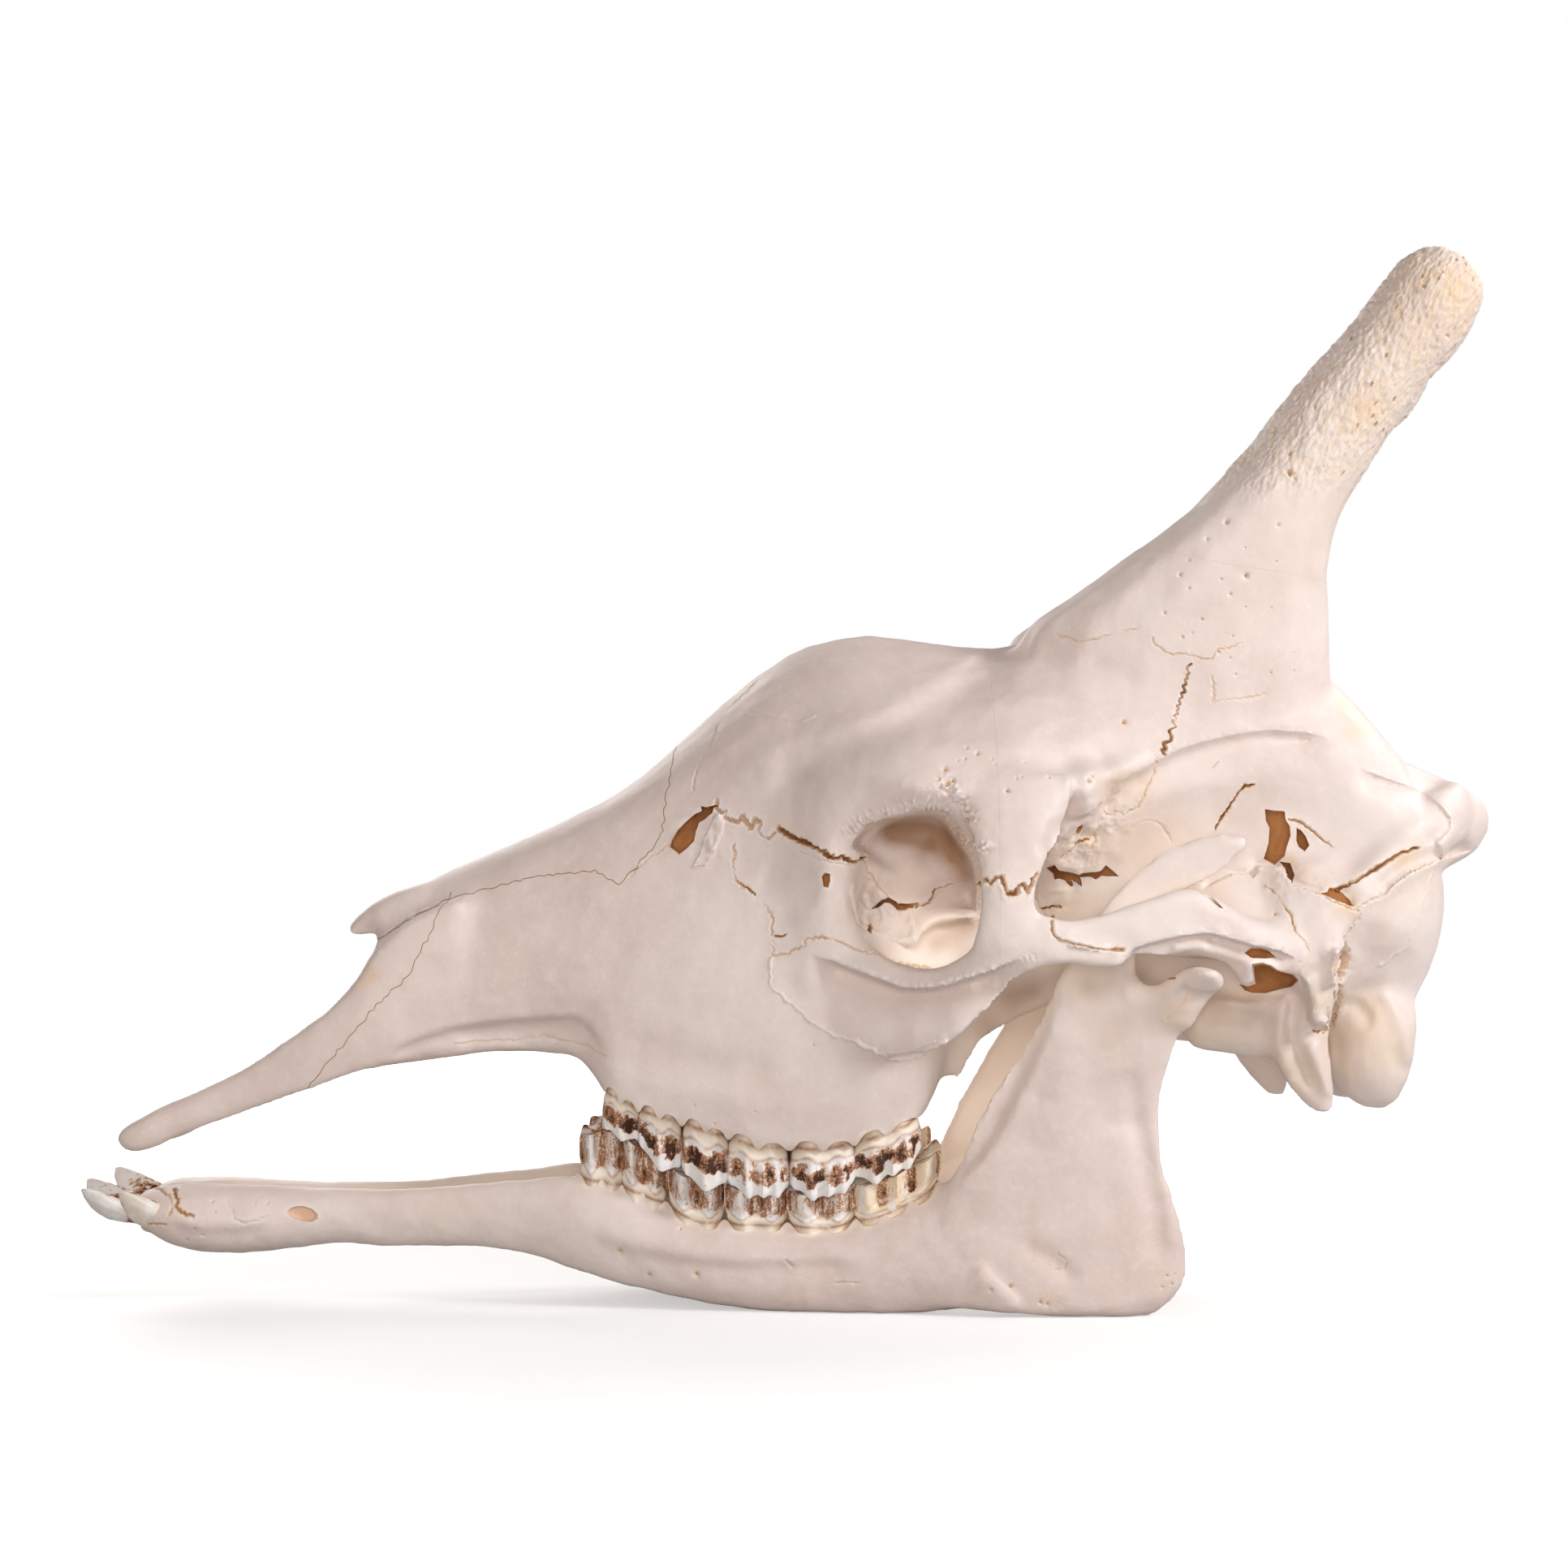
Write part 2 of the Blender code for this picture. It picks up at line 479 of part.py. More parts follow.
def build_skull():
    """The whole skull but its lower jaw, in one piece."""
    pieces = [blade("nape", NAPE, 1)]
    for side in SIDES:
        for rows in (PREMAXILLA, NASAL_TIP, JUGAL, POSTORBITAL, ZYGOMATIC, GLENOID, POSTGLENOID,
                     MASTOID, PARACONDYLAR, BULLA, CONDYLE, PTERYGOID):
            pieces.append(blade("piece", rows, side))
        pieces.append(bar("crest", NUCHAL_CREST, side))
        pieces.append(raked_ossicone(side))
    skull = combine(braincase_and_face(), pieces, "UNION")
    cutters = [blade("nose", NOSE_CAVITY, 1), blade("spine", FORAMEN_MAGNUM, 1)]
    for side in SIDES:
        cutters += [socket_cutter(side), blade("ear", EAR, side)]
    combine(skull, cutters, "DIFFERENCE")
    soften(skull, SKULL_FACES)
    combine(skull, [tooth for side in SIDES for tooth in teeth(UPPER_TEETH, side, 1)], "UNION")
    return combine(skull, [jaw_seat(side) for side in SIDES], "DIFFERENCE")


def part_skull(skull):
    """Cuts the skull along its sutures and names each bone by where it lies."""
    for line in (NASAL_SUTURE, PREMAXILLA_SUTURE, OSSICONE_SUTURE):
        combine(skull, [sheet("suture", line)], "DIFFERENCE")
    groups = surfaces(skull)
    bones = {}
    for group in groups:
        middle = sum((skull.data.polygons[i].center for i in group), Vector()) / len(group) / MM
        side = "left" if middle.y < 0 else "right"
        if len(group) == len(groups[0]):
            name = "cranium"
        elif middle.z > 360:
            name = "ossicone_" + side
        elif middle.x < -170 and middle.z < 165:
            name = "premaxilla_" + side
        else:
            name = "nasal_bones"
        bones.setdefault(name, group)
    for name, group in bones.items():
        bone = bpy.data.objects.new(name, skull.data.copy())
        bpy.context.scene.collection.objects.link(bone)
        keep_faces(bone, group)
        tidy(bone)
    bpy.data.objects.remove(skull)


def build_mandible(side, name):
    pieces = [blade("piece", rows, side) for rows in (RAMUS, CORONOID, JAW_NECK)]
    jaw = combine(blade(name, JAW_BODY, side), pieces, "UNION")
    soften(jaw, JAW_FACES)
    grown = teeth(LOWER_TEETH, side, -1) + [incisor(*sizes, side) for sizes in INCISORS]
    combine(jaw, grown, "UNION")
    jaw.name = name
    # Half the gap between the halves at the chin, and the floor.
    centre = box("midplane", (-340, -side * 60, 40), (680, 120 + GAP, 120))
    floor = box("floor", (0, 0, -20), (900, 400, 40))
    combine(jaw, [centre, floor], "DIFFERENCE")
    return tidy(keep_largest(jaw))


def centre_on_origin(things):
    """Moves the meshes so that the whole object stands over the origin."""
    corners = [v.co for thing in things for v in thing.data.vertices]
    shift = Vector([-(min(c[i] for c in corners) + max(c[i] for c in corners)) / 2 for i in (0, 1)] + [0.0])
    for thing in things:
        thing.data.transform(Matrix.Translation(shift))


def main():
    clear_scene()
    part_skull(build_skull())
    for side, name in zip(SIDES, ("mandible_left", "mandible_right")):
        build_mandible(side, name)
    centre_on_origin(list(bpy.data.objects))
    for thing in bpy.data.objects:
        thing.data.name = thing.name
        thing.data.materials.clear()
        thing.data.materials.append(material(thing.name, HORN_COLOUR if "ossicone" in thing.name else BONE_COLOUR))


main()
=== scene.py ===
import math
import random

import bmesh
import bpy
import numpy as np
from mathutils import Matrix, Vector, kdtree, noise
from mathutils.bvhtree import BVHTree


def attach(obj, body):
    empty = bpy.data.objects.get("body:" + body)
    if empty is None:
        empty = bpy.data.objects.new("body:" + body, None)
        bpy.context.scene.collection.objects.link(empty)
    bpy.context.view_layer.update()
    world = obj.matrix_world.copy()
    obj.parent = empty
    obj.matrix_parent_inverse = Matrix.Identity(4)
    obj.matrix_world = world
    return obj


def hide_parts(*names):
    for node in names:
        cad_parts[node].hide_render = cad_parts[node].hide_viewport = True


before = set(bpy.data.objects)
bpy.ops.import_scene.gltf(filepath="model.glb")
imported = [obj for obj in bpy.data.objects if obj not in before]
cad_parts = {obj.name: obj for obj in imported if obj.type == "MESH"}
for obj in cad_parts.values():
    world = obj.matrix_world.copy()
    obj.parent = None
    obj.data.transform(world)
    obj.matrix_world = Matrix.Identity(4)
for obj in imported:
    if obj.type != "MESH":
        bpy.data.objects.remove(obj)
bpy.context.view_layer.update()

# Giraffe skull, life size, in metres: +X towards the nape, the animal's left side at -Y.
# Places on the bone are pixels of the 1932 x 1932 photo, thrown onto the surface from where the camera stood.
mm = 0.001

photo = {
    "pixels": 1932,
    "middleColumn": 966,
    "horizonRow": 1110,       # the row at the camera's own height
    "pixelSize": 0.00039,     # on the skull's midplane
    "distance": 1.3,          # from the camera to the midplane
    "eyeHeight": 0.1897,
}


def sightLine(column, row, side):
    # the camera's place and its view through a pixel; side 1 is the mirror image, for the far half
    across = (column - photo["middleColumn"]) * photo["pixelSize"]
    up = (photo["horizonRow"] - row) * photo["pixelSize"]
    eye = Vector((0, side * photo["distance"], photo["eyeHeight"]))
    return eye, Vector((across, -side * photo["distance"], up)).normalized()


def photoPlaces(spots):
    # the column and row at which spots of either half are seen
    scale = photo["distance"] / ((photo["distance"] - np.abs(spots[:, 1])) * photo["pixelSize"])
    columns = photo["middleColumn"] + spots[:, 0] * scale
    rows = photo["horizonRow"] - (spots[:, 2] - photo["eyeHeight"]) * scale
    return columns, rows


# Handling meshes

def pick(piece):
    bpy.ops.object.select_all(action="DESELECT")
    piece.select_set(True)
    bpy.context.view_layer.objects.active = piece


def putIn(name, data):
    # a new object in the scene
    made = bpy.data.objects.new(name, data)
    bpy.context.scene.collection.objects.link(made)
    return made


def plainMesh(add, name, **settings):
    # one of Blender's plain meshes, to be bent into shape
    bpy.ops.object.select_all(action="DESELECT")
    add(**settings)
    bpy.context.object.name = name
    return bpy.context.object


def editAll(piece, *edits):
    # runs edits on the whole of a piece in edit mode
    pick(piece)
    bpy.ops.object.mode_set(mode="EDIT")
    bpy.ops.mesh.select_all(action="SELECT")
    for edit, settings in edits:
        edit(**settings)
    bpy.ops.object.mode_set(mode="OBJECT")


def turnFacesOut(piece):
    editAll(piece, (bpy.ops.mesh.normals_make_consistent, {"inside": False}))


def applyModifiers(piece):
    pick(piece)
    for modifier in list(piece.modifiers):
        bpy.ops.object.modifier_apply(modifier=modifier.name)


def readSpots(piece):
    spots = np.empty(len(piece.data.vertices) * 3)
    piece.data.vertices.foreach_get("co", spots)
    return spots.reshape(-1, 3)


def writeSpots(piece, spots):
    piece.data.vertices.foreach_set("co", spots.ravel())
    piece.data.update()


def readNormals(piece):
    normals = np.empty(len(piece.data.vertices) * 3)
    piece.data.vertex_normals.foreach_get("vector", normals)
    return normals.reshape(-1, 3)


def readEdges(piece):
    ends = np.empty(len(piece.data.edges) * 2, np.int64)
    piece.data.edges.foreach_get("vertices", ends)
    return ends.reshape(-1, 2)


def neighbourMean(values, ends):
    # the mean of each spot's neighbours
    a, b = ends[:, 0], ends[:, 1]
    count = len(values)
    share = np.maximum(np.bincount(a, minlength=count) + np.bincount(b, minlength=count), 1)
    columns = values.reshape(count, -1)
    summed = [np.bincount(a, columns[b, k], count) + np.bincount(b, columns[a, k], count)
              for k in range(columns.shape[1])]
    return (np.column_stack(summed) / share[:, None]).reshape(values.shape)


def relax(piece, rounds):
    # evens the skin out and doesn't shrink it: each step in is followed by one out
    spots, ends = readSpots(piece), readEdges(piece)
    for turn in range(rounds):
        for push in (0.5, -0.53):
            spots = spots + push * (neighbourMean(spots, ends) - spots)
    writeSpots(piece, spots)


def smoothStep(low, high, values):
    t = np.clip((values - low) / (high - low), 0, 1)
    return t * t * (3 - 2 * t)


def bump(distance, width):
    return np.exp(-(distance / width) ** 2)


def mark(piece, name, values):
    layer = piece.data.attributes.get(name) or piece.data.attributes.new(name, "FLOAT", "POINT")
    layer.data.foreach_set("value", np.clip(values, 0, 1).astype(np.float32))


def boneCopy(node, name):
    piece = putIn(name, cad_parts[node].data.copy())
    piece.data.materials.clear()
    editAll(piece, (bpy.ops.mesh.customdata_custom_splitnormals_clear, {}),
            (bpy.ops.mesh.remove_doubles, {"threshold": 0.01 * mm}))
    return piece


def cutAway(piece, cutters):
    # takes the cutters out of a piece and removes them
    group = bpy.data.collections.new("cutters")
    for cutter in cutters:
        group.objects.link(cutter)
    cut = piece.modifiers.new("cut", "BOOLEAN")
    cut.operation = "DIFFERENCE"
    cut.solver = "MANIFOLD"
    cut.operand_type = "COLLECTION"
    cut.collection = group
    applyModifiers(piece)
    for cutter in cutters:
        bpy.data.objects.remove(cutter)
    bpy.data.collections.remove(group)


def reskin(piece, voxel, swell=0.0):
    # one even skin over all that a piece holds
    if swell:
        grow = piece.modifiers.new("grow", "DISPLACE")
        grow.mid_level = 0.0
        grow.strength = swell
    skin = piece.modifiers.new("skin", "REMESH")
    skin.mode = "VOXEL"
    skin.voxel_size = voxel
    applyModifiers(piece)


def blockBeyond(axis, sign, at):
    # a block that fills all the space on one side of a plane
    place = [0.0, 0.0, 0.0]
    place[axis] = at + sign * 0.7
    block = plainMesh(bpy.ops.mesh.primitive_cube_add, "block", size=1.4, location=place)
    bpy.ops.object.transform_apply(location=True)
    return block


def splitAt(piece, axis, at, gap):
    # parts a piece in two along a plane
    other = putIn(piece.name + "_other", piece.data.copy())
    cutAway(piece, [blockBeyond(axis, 1, at - gap / 2)])
    cutAway(other, [blockBeyond(axis, -1, at + gap / 2)])
    return piece, other


def looseParts(piece, fewest):
    # splits a piece into its separate bodies and drops crumbs
    editAll(piece, (bpy.ops.mesh.separate, {"type": "LOOSE"}))
    parts = list(bpy.context.selected_objects)
    kept = [part for part in parts if len(part.data.polygons) >= fewest]
    for part in parts:
        if part not in kept:
            bpy.data.objects.remove(part)
    return kept


def skinTree(piece):
    return BVHTree.FromObject(piece, bpy.context.evaluated_depsgraph_get())


# Lines and spots on the bone, as the photo shows them

def evenPath(path, step):
    # the points of a path in even steps
    points = np.array(path, float)
    lengths = np.concatenate([[0], np.cumsum(np.linalg.norm(np.diff(points, axis=0), axis=1))])
    at = np.arange(0, lengths[-1], step)
    return np.column_stack([np.interp(at, lengths, points[:, k]) for k in (0, 1)]), at


def wander(path, step, swing, wave, seed):
    # a path thrown from side to side, as a suture or a crack runs
    points, at = evenPath(path, step)
    dice = random.Random(seed)
    knots, throws, sign = [0.0], [0.0], 1
    while knots[-1] < at[-1]:
        knots.append(knots[-1] + wave * dice.uniform(0.25, 0.75))
        throws.append(sign * swing * dice.uniform(0.15, 1.0))
        sign = -sign if dice.random() < 0.85 else sign
    ahead = np.gradient(points, axis=0)
    ahead /= np.maximum(np.linalg.norm(ahead, axis=1, keepdims=True), 1e-9)
    return points + np.column_stack([-ahead[:, 1], ahead[:, 0]]) * np.interp(at, knots, throws)[:, None]


def landOn(tree, places, side):
    # where the photo's places lie on a bone; places off the bone are left out
    landed = []
    for column, row in places:
        spot = tree.ray_cast(*sightLine(column, row, side))[0]
        if spot is not None:
            landed.append(spot)
    return landed


def kdFinder(line):
    finder = kdtree.KDTree(len(line))
    for i, point in enumerate(line):
        finder.insert(point, i)
    finder.balance()
    return finder


def nearest(spots, line):
    # each spot's distance to the closest point of a line or a finder, and which point that is
    finder = line if isinstance(line, kdtree.KDTree) else kdFinder(line)
    found = [finder.find(spot)[1:] for spot in spots]
    return np.array([f[1] for f in found]), np.array([f[0] for f in found], int)


# Every seam: how far it swings and how often, its half width, its depth, how brown it is, and its path.
# Swings, waves and paths are in pixels of the photo, widths and depths in millimetres.
skullSeams = {
    "frontLacrimalTeeth": (1.2, 5, 0.75, 2.2, 0.5, [(884, 986), (882, 996), (888, 1001), (895, 999),
        (893, 1008), (902, 1011), (909, 1013), (913, 1005), (919, 1013), (926, 1020), (930, 1008), (938, 1015),
        (934, 1024), (940, 1031), (948, 1033), (955, 1026)]),
    "frontLacrimal": (1.4, 7, 0.95, 3.2, 0.95, [(960, 1021), (971, 1029), (981, 1034), (992, 1038),
        (1003, 1044), (1012, 1049), (1021, 1056), (1030, 1058), (1037, 1055), (1045, 1060), (1052, 1063),
        (1060, 1059), (1068, 1055)]),
    "lacrimalLip": (0.8, 12, 0.5, 0.5, 0.15, [(985, 1049), (1000, 1056), (1020, 1062), (1038, 1066),
        (1052, 1068)]),
    "lacrimalMaxilla": (2.4, 8, 0.5, 0.9, 0.42, [(905, 1040), (903, 1060), (904, 1080), (915, 1092),
        (928, 1103), (945, 1118), (952, 1130), (951, 1145), (952, 1160), (952, 1178)]),
    "lacrimalDash": (0.8, 6, 0.5, 0.9, 0.8, [(908, 1086), (917, 1092), (930, 1102)]),
    "lacrimalDashLow": (0.5, 6, 0.4, 0.7, 0.9, [(955, 1153), (963, 1154), (969, 1151)]),
    "lacrimalJugal": (1.8, 7, 0.5, 0.6, 0.5, [(952, 1177), (967, 1176), (978, 1170), (990, 1166), (992, 1158),
        (1003, 1156), (1015, 1155), (1025, 1158), (1038, 1163), (1050, 1168), (1062, 1172), (1075, 1174),
        (1090, 1179), (1110, 1187), (1130, 1191), (1148, 1192)]),
    "jugalMaxilla": (1.6, 14, 0.9, -0.7, 0.12, [(951, 1180), (949, 1195), (950, 1215), (965, 1228), (985, 1245),
        (1005, 1262), (1030, 1277), (1050, 1281), (1070, 1290), (1085, 1297), (1098, 1305), (1115, 1305),
        (1130, 1301), (1145, 1292), (1165, 1282)]),
    "jugalMaxillaTwin": (1.0, 9, 0.6, -0.4, 0.18, [(1085, 1296), (1100, 1298), (1115, 1296), (1135, 1289),
        (1152, 1284)]),
    "postorbital": (0.9, 5, 0.95, 2.4, 0.72, [(1206, 1091), (1213, 1083), (1220, 1088), (1226, 1082),
        (1233, 1081), (1237, 1090), (1241, 1101), (1251, 1101), (1255, 1092), (1262, 1089), (1267, 1099),
        (1272, 1090), (1278, 1078)]),
    "postorbitalEdge": (0.6, 8, 0.6, 0.3, 0.3, [(1277, 1086), (1276, 1105), (1281, 1120), (1289, 1129)]),
    "temporalJugal": (0.8, 14, 0.75, 1.5, 0.6, [(1297, 1130), (1296, 1145), (1300, 1154), (1308, 1160),
        (1325, 1163), (1345, 1168), (1362, 1171), (1384, 1170)]),
    "frontoParietal": (4.4, 8, 0.45, 1.5, 0.72, [(1468, 818), (1464, 830), (1460, 848), (1455, 862),
        (1451, 876), (1447, 890), (1442, 903), (1437, 916), (1432, 930)]),
    "frontoParietalLow": (2.2, 8, 0.5, 0.6, 0.4, [(1426, 935), (1423, 950), (1412, 972), (1408, 985),
        (1400, 996), (1385, 1005), (1376, 1000), (1368, 1006), (1361, 1001), (1354, 1013), (1350, 1026),
        (1349, 1038), (1340, 1050)]),
    "templeDash": (1.6, 7, 0.4, 0.6, 0.85, [(1342, 1035), (1328, 1039), (1318, 1048), (1305, 1057)]),
    "templeDashLow": (1.0, 7, 0.4, 0.7, 0.9, [(1283, 1120), (1296, 1117), (1308, 1118)]),
    "templeVein": (1.4, 14, 0.5, 0.25, 0.2, [(1393, 1021), (1408, 1011), (1425, 1012), (1435, 1022),
        (1443, 1038)]),
    "foreheadCrack": (1.6, 12, 0.4, 0.45, 0.42, [(1302, 781), (1312, 785), (1330, 790), (1352, 787),
        (1380, 778), (1402, 774)]),
    "hornFootCrack": (1.6, 10, 0.4, 0.45, 0.42, [(1420, 786), (1424, 796), (1440, 806), (1462, 806),
        (1475, 811), (1495, 811), (1500, 800), (1515, 799), (1530, 792)]),
    "hornFootSpur": (2.0, 8, 0.4, 0.35, 0.3, [(1493, 833), (1495, 850), (1493, 866), (1510, 862), (1540, 860),
        (1560, 855)]),
    "parietalCrack": (0.9, 8, 0.5, 1.1, 0.95, [(1545, 967), (1532, 970), (1524, 980), (1515, 993), (1505, 1008),
        (1497, 1022)]),
    "parietalCrackShort": (0.3, 6, 0.35, 0.4, 0.5, [(1501, 938), (1494, 946)]),
    "braincaseCrack": (0.8, 9, 0.45, 0.9, 0.6, [(1588, 1010), (1600, 1012), (1615, 1022), (1630, 1035),
        (1643, 1044)]),
    "squamosalTop": (1.8, 8, 0.7, 1.4, 0.38, [(1512, 1077), (1530, 1074), (1545, 1079), (1550, 1067),
        (1560, 1065), (1572, 1068), (1582, 1066), (1588, 1080), (1595, 1090), (1612, 1095)]),
    "squamosalBack": (1.2, 10, 0.6, 1.0, 0.35, [(1612, 1095), (1640, 1110), (1660, 1118), (1674, 1122),
        (1668, 1136), (1662, 1150)]),
    "squamosalCrack": (1.4, 12, 0.45, 0.6, 0.6, [(1558, 1091), (1570, 1099), (1580, 1113), (1590, 1128),
        (1593, 1138), (1598, 1150), (1605, 1155), (1610, 1165), (1613, 1173)]),
    "squamosalVein": (1.0, 10, 0.4, 0.3, 0.3, [(1488, 1055), (1488, 1062), (1480, 1075), (1476, 1086)]),
    "lambdoid": (1.4, 12, 0.6, 1.6, 0.8, [(1748, 1045), (1730, 1050), (1715, 1058), (1702, 1066), (1690, 1073),
        (1675, 1082), (1660, 1090), (1645, 1096), (1630, 1099)]),
    "nuchalEdge": (1.6, 9, 0.8, 0.8, 0.32, [(1775, 1058), (1745, 1068), (1727, 1080), (1712, 1092),
        (1700, 1106), (1685, 1112), (1672, 1120)]),
    "mastoidTop": (2.0, 7, 0.6, 0.5, 0.3, [(1676, 1128), (1668, 1140), (1662, 1152)]),
    "socketCrack": (1.1, 8, 0.65, 2.0, 0.9, [(1114, 1120), (1130, 1116), (1145, 1112), (1150, 1104),
        (1152, 1097), (1160, 1094), (1172, 1090), (1182, 1086), (1195, 1086), (1204, 1090)]),
    "socketSeam": (2.0, 7, 0.5, 0.6, 0.4, [(1066, 1058), (1070, 1073), (1078, 1080), (1077, 1092),
        (1088, 1103)]),
    "nasalFrontal": (1.6, 8, 0.4, 0.35, 0.22, [(934, 838), (912, 860), (897, 872), (883, 897), (876, 920),
        (866, 934), (858, 950), (853, 975)]),
    "foreheadLine": (1.0, 20, 0.7, -0.3, 0.12, [(923, 882), (945, 881), (970, 886), (990, 888), (1003, 882)]),
    "nasalMaxillaTop": (1.6, 9, 0.4, 0.35, 0.3, [(775, 1080), (783, 1072), (795, 1060), (810, 1050),
        (824, 1040)]),
    "muzzleFlap": (0.6, 14, 0.6, 0.5, 0.05, [(462, 1168), (478, 1148), (500, 1131), (530, 1118), (552, 1113)]),
    "palateEdge": (1.6, 22, 0.5, 0.5, 0.25, [(560, 1286), (600, 1283), (640, 1281), (670, 1275), (700, 1283),
        (725, 1290), (746, 1303)]),
    "mastoidCleft": (2.0, 9, 1.5, 2.6, 0.45, [(1655, 1158), (1657, 1180), (1652, 1205), (1650, 1230),
        (1642, 1255), (1632, 1268)]),
    "occipitalLine": (2, 22, 0.9, -0.4, 0.05, [(1765, 1075), (1750, 1120), (1735, 1165), (1700, 1190)]),
}
jawSeams = {
    "neckStain": (1.2, 6, 0.7, 0.2, 0.3, [(1464, 1224), (1459, 1238), (1446, 1248), (1437, 1256)]),
    "hingeCleft": (0.5, 8, 0.5, 0.5, 0.9, [(1420, 1200), (1432, 1206), (1448, 1205)]),
    "angleMark": (0.8, 10, 0.5, 0.3, 0.2, [(1303, 1545), (1314, 1553), (1312, 1562), (1300, 1566)]),
    "socketMarkFront": (1.5, 6, 0.7, 0.8, 0.55, [(186, 1463), (200, 1467), (209, 1475), (213, 1486),
        (207, 1497)]),
    "socketMarkBack": (2.0, 6, 0.7, 0.9, 0.7, [(214, 1464), (218, 1476), (216, 1486), (225, 1494),
        (238, 1499)]),
    "socketMarkLow": (1.2, 7, 0.6, 0.5, 0.6, [(152, 1500), (165, 1505), (180, 1508), (204, 1509)]),
    "chinLine": (1.5, 9, 0.6, 0.35, 0.08, [(280, 1480), (286, 1490), (288, 1500), (300, 1508), (330, 1500)]),
    "bodyNick": (0.4, 8, 0.6, 0.5, 0.15, [(1030, 1581), (1042, 1580), (1058, 1581)]),
    "bodyNickFront": (0.3, 8, 0.6, 0.5, 0.15, [(968, 1553), (975, 1560)]),
}

# Holes through the outer bone: how deep in millimetres, how much narrower the bottom is, and their outline.
skullHoles = {
    "lacrimalGap": (13, 0.85, [(823, 1046), (826, 1037), (833, 1024), (842, 1014), (856, 1002), (865, 998),
        (864, 991), (872, 993), (883, 990), (879, 1001), (870, 1009), (862, 1013), (858, 1024), (855, 1037),
        (846, 1047), (836, 1055)]),
    "tearHole": (7, 0.6, [(1011, 1079), (1016, 1073), (1024, 1075), (1024, 1086), (1021, 1096), (1014, 1095)]),
    "socketHole": (10, 0.8, [(1068, 1124), (1074, 1114), (1082, 1106), (1092, 1102), (1100, 1106), (1108, 1112),
        (1122, 1113), (1140, 1111), (1130, 1119), (1118, 1126), (1104, 1126), (1098, 1118), (1088, 1116),
        (1078, 1122)]),
    "socketHoleFront": (8, 0.7, [(1066, 1137), (1074, 1134), (1078, 1144), (1074, 1152), (1067, 1147)]),
    "templeSlit": (11, 0.85, [(1288, 1069), (1298, 1065), (1304, 1072), (1318, 1074), (1330, 1076),
        (1345, 1074), (1358, 1072), (1366, 1065), (1374, 1071), (1385, 1080), (1370, 1080), (1360, 1079),
        (1352, 1084), (1345, 1080), (1331, 1081), (1333, 1094), (1325, 1087), (1318, 1085), (1320, 1094),
        (1310, 1085), (1302, 1083), (1296, 1085), (1295, 1076)]),
    "templeDot": (6, 0.6, [(1324, 1026), (1328, 1018), (1335, 1014), (1334, 1022), (1329, 1029)]),
    "braincaseGap": (15, 0.9, [(1558, 996), (1568, 998), (1583, 999), (1584, 1008), (1590, 1018), (1591, 1030),
        (1586, 1044), (1583, 1056), (1571, 1066), (1556, 1060), (1562, 1040), (1564, 1020), (1559, 1010)]),
    "braincaseGapBack": (11, 0.8, [(1597, 1019), (1603, 1022), (1609, 1030), (1614, 1042), (1608, 1050),
        (1600, 1044), (1597, 1036)]),
    "braincaseGapLow": (10, 0.8, [(1575, 1060), (1590, 1062), (1596, 1078), (1594, 1088), (1587, 1080),
        (1583, 1068)]),
    "archGap": (6, 0.7, [(1474, 1098), (1482, 1091), (1492, 1103), (1511, 1122), (1505, 1121), (1488, 1107)]),
    "lambdoidGap": (6, 0.7, [(1622, 1100), (1636, 1095), (1648, 1095), (1658, 1102), (1667, 1110), (1672, 1119),
        (1655, 1114), (1640, 1109)]),
    "mastoidGap": (4.5, 0.7, [(1660, 1158), (1653, 1163), (1645, 1177), (1639, 1192), (1641, 1206),
        (1648, 1201), (1655, 1186), (1659, 1172)]),
    "mastoidPit": (4, 0.6, [(1613, 1266), (1622, 1269), (1631, 1263), (1634, 1268), (1624, 1276),
        (1616, 1273)]),
    "earPassage": (11, 0.8, [(1532, 1174), (1540, 1168), (1556, 1168), (1567, 1172), (1576, 1181), (1560, 1182),
        (1541, 1181)]),
    "earCavity": (18, 0.8, [(1542, 1187), (1555, 1185), (1566, 1188), (1575, 1194), (1598, 1200), (1605, 1208),
        (1597, 1217), (1580, 1221), (1560, 1227), (1540, 1227), (1528, 1223), (1519, 1213), (1533, 1217),
        (1544, 1213), (1543, 1200)]),
}
jawHoles = {
    "chinHole": (4.5, 0.62, [(348, 1492), (353, 1486), (363, 1483), (375, 1483), (388, 1488), (396, 1496),
        (396, 1503), (388, 1508), (376, 1508), (362, 1503), (352, 1499)]),
    "rootHole": (5, 0.6, [(213, 1466), (217, 1461), (222, 1466), (218, 1472)]),
}

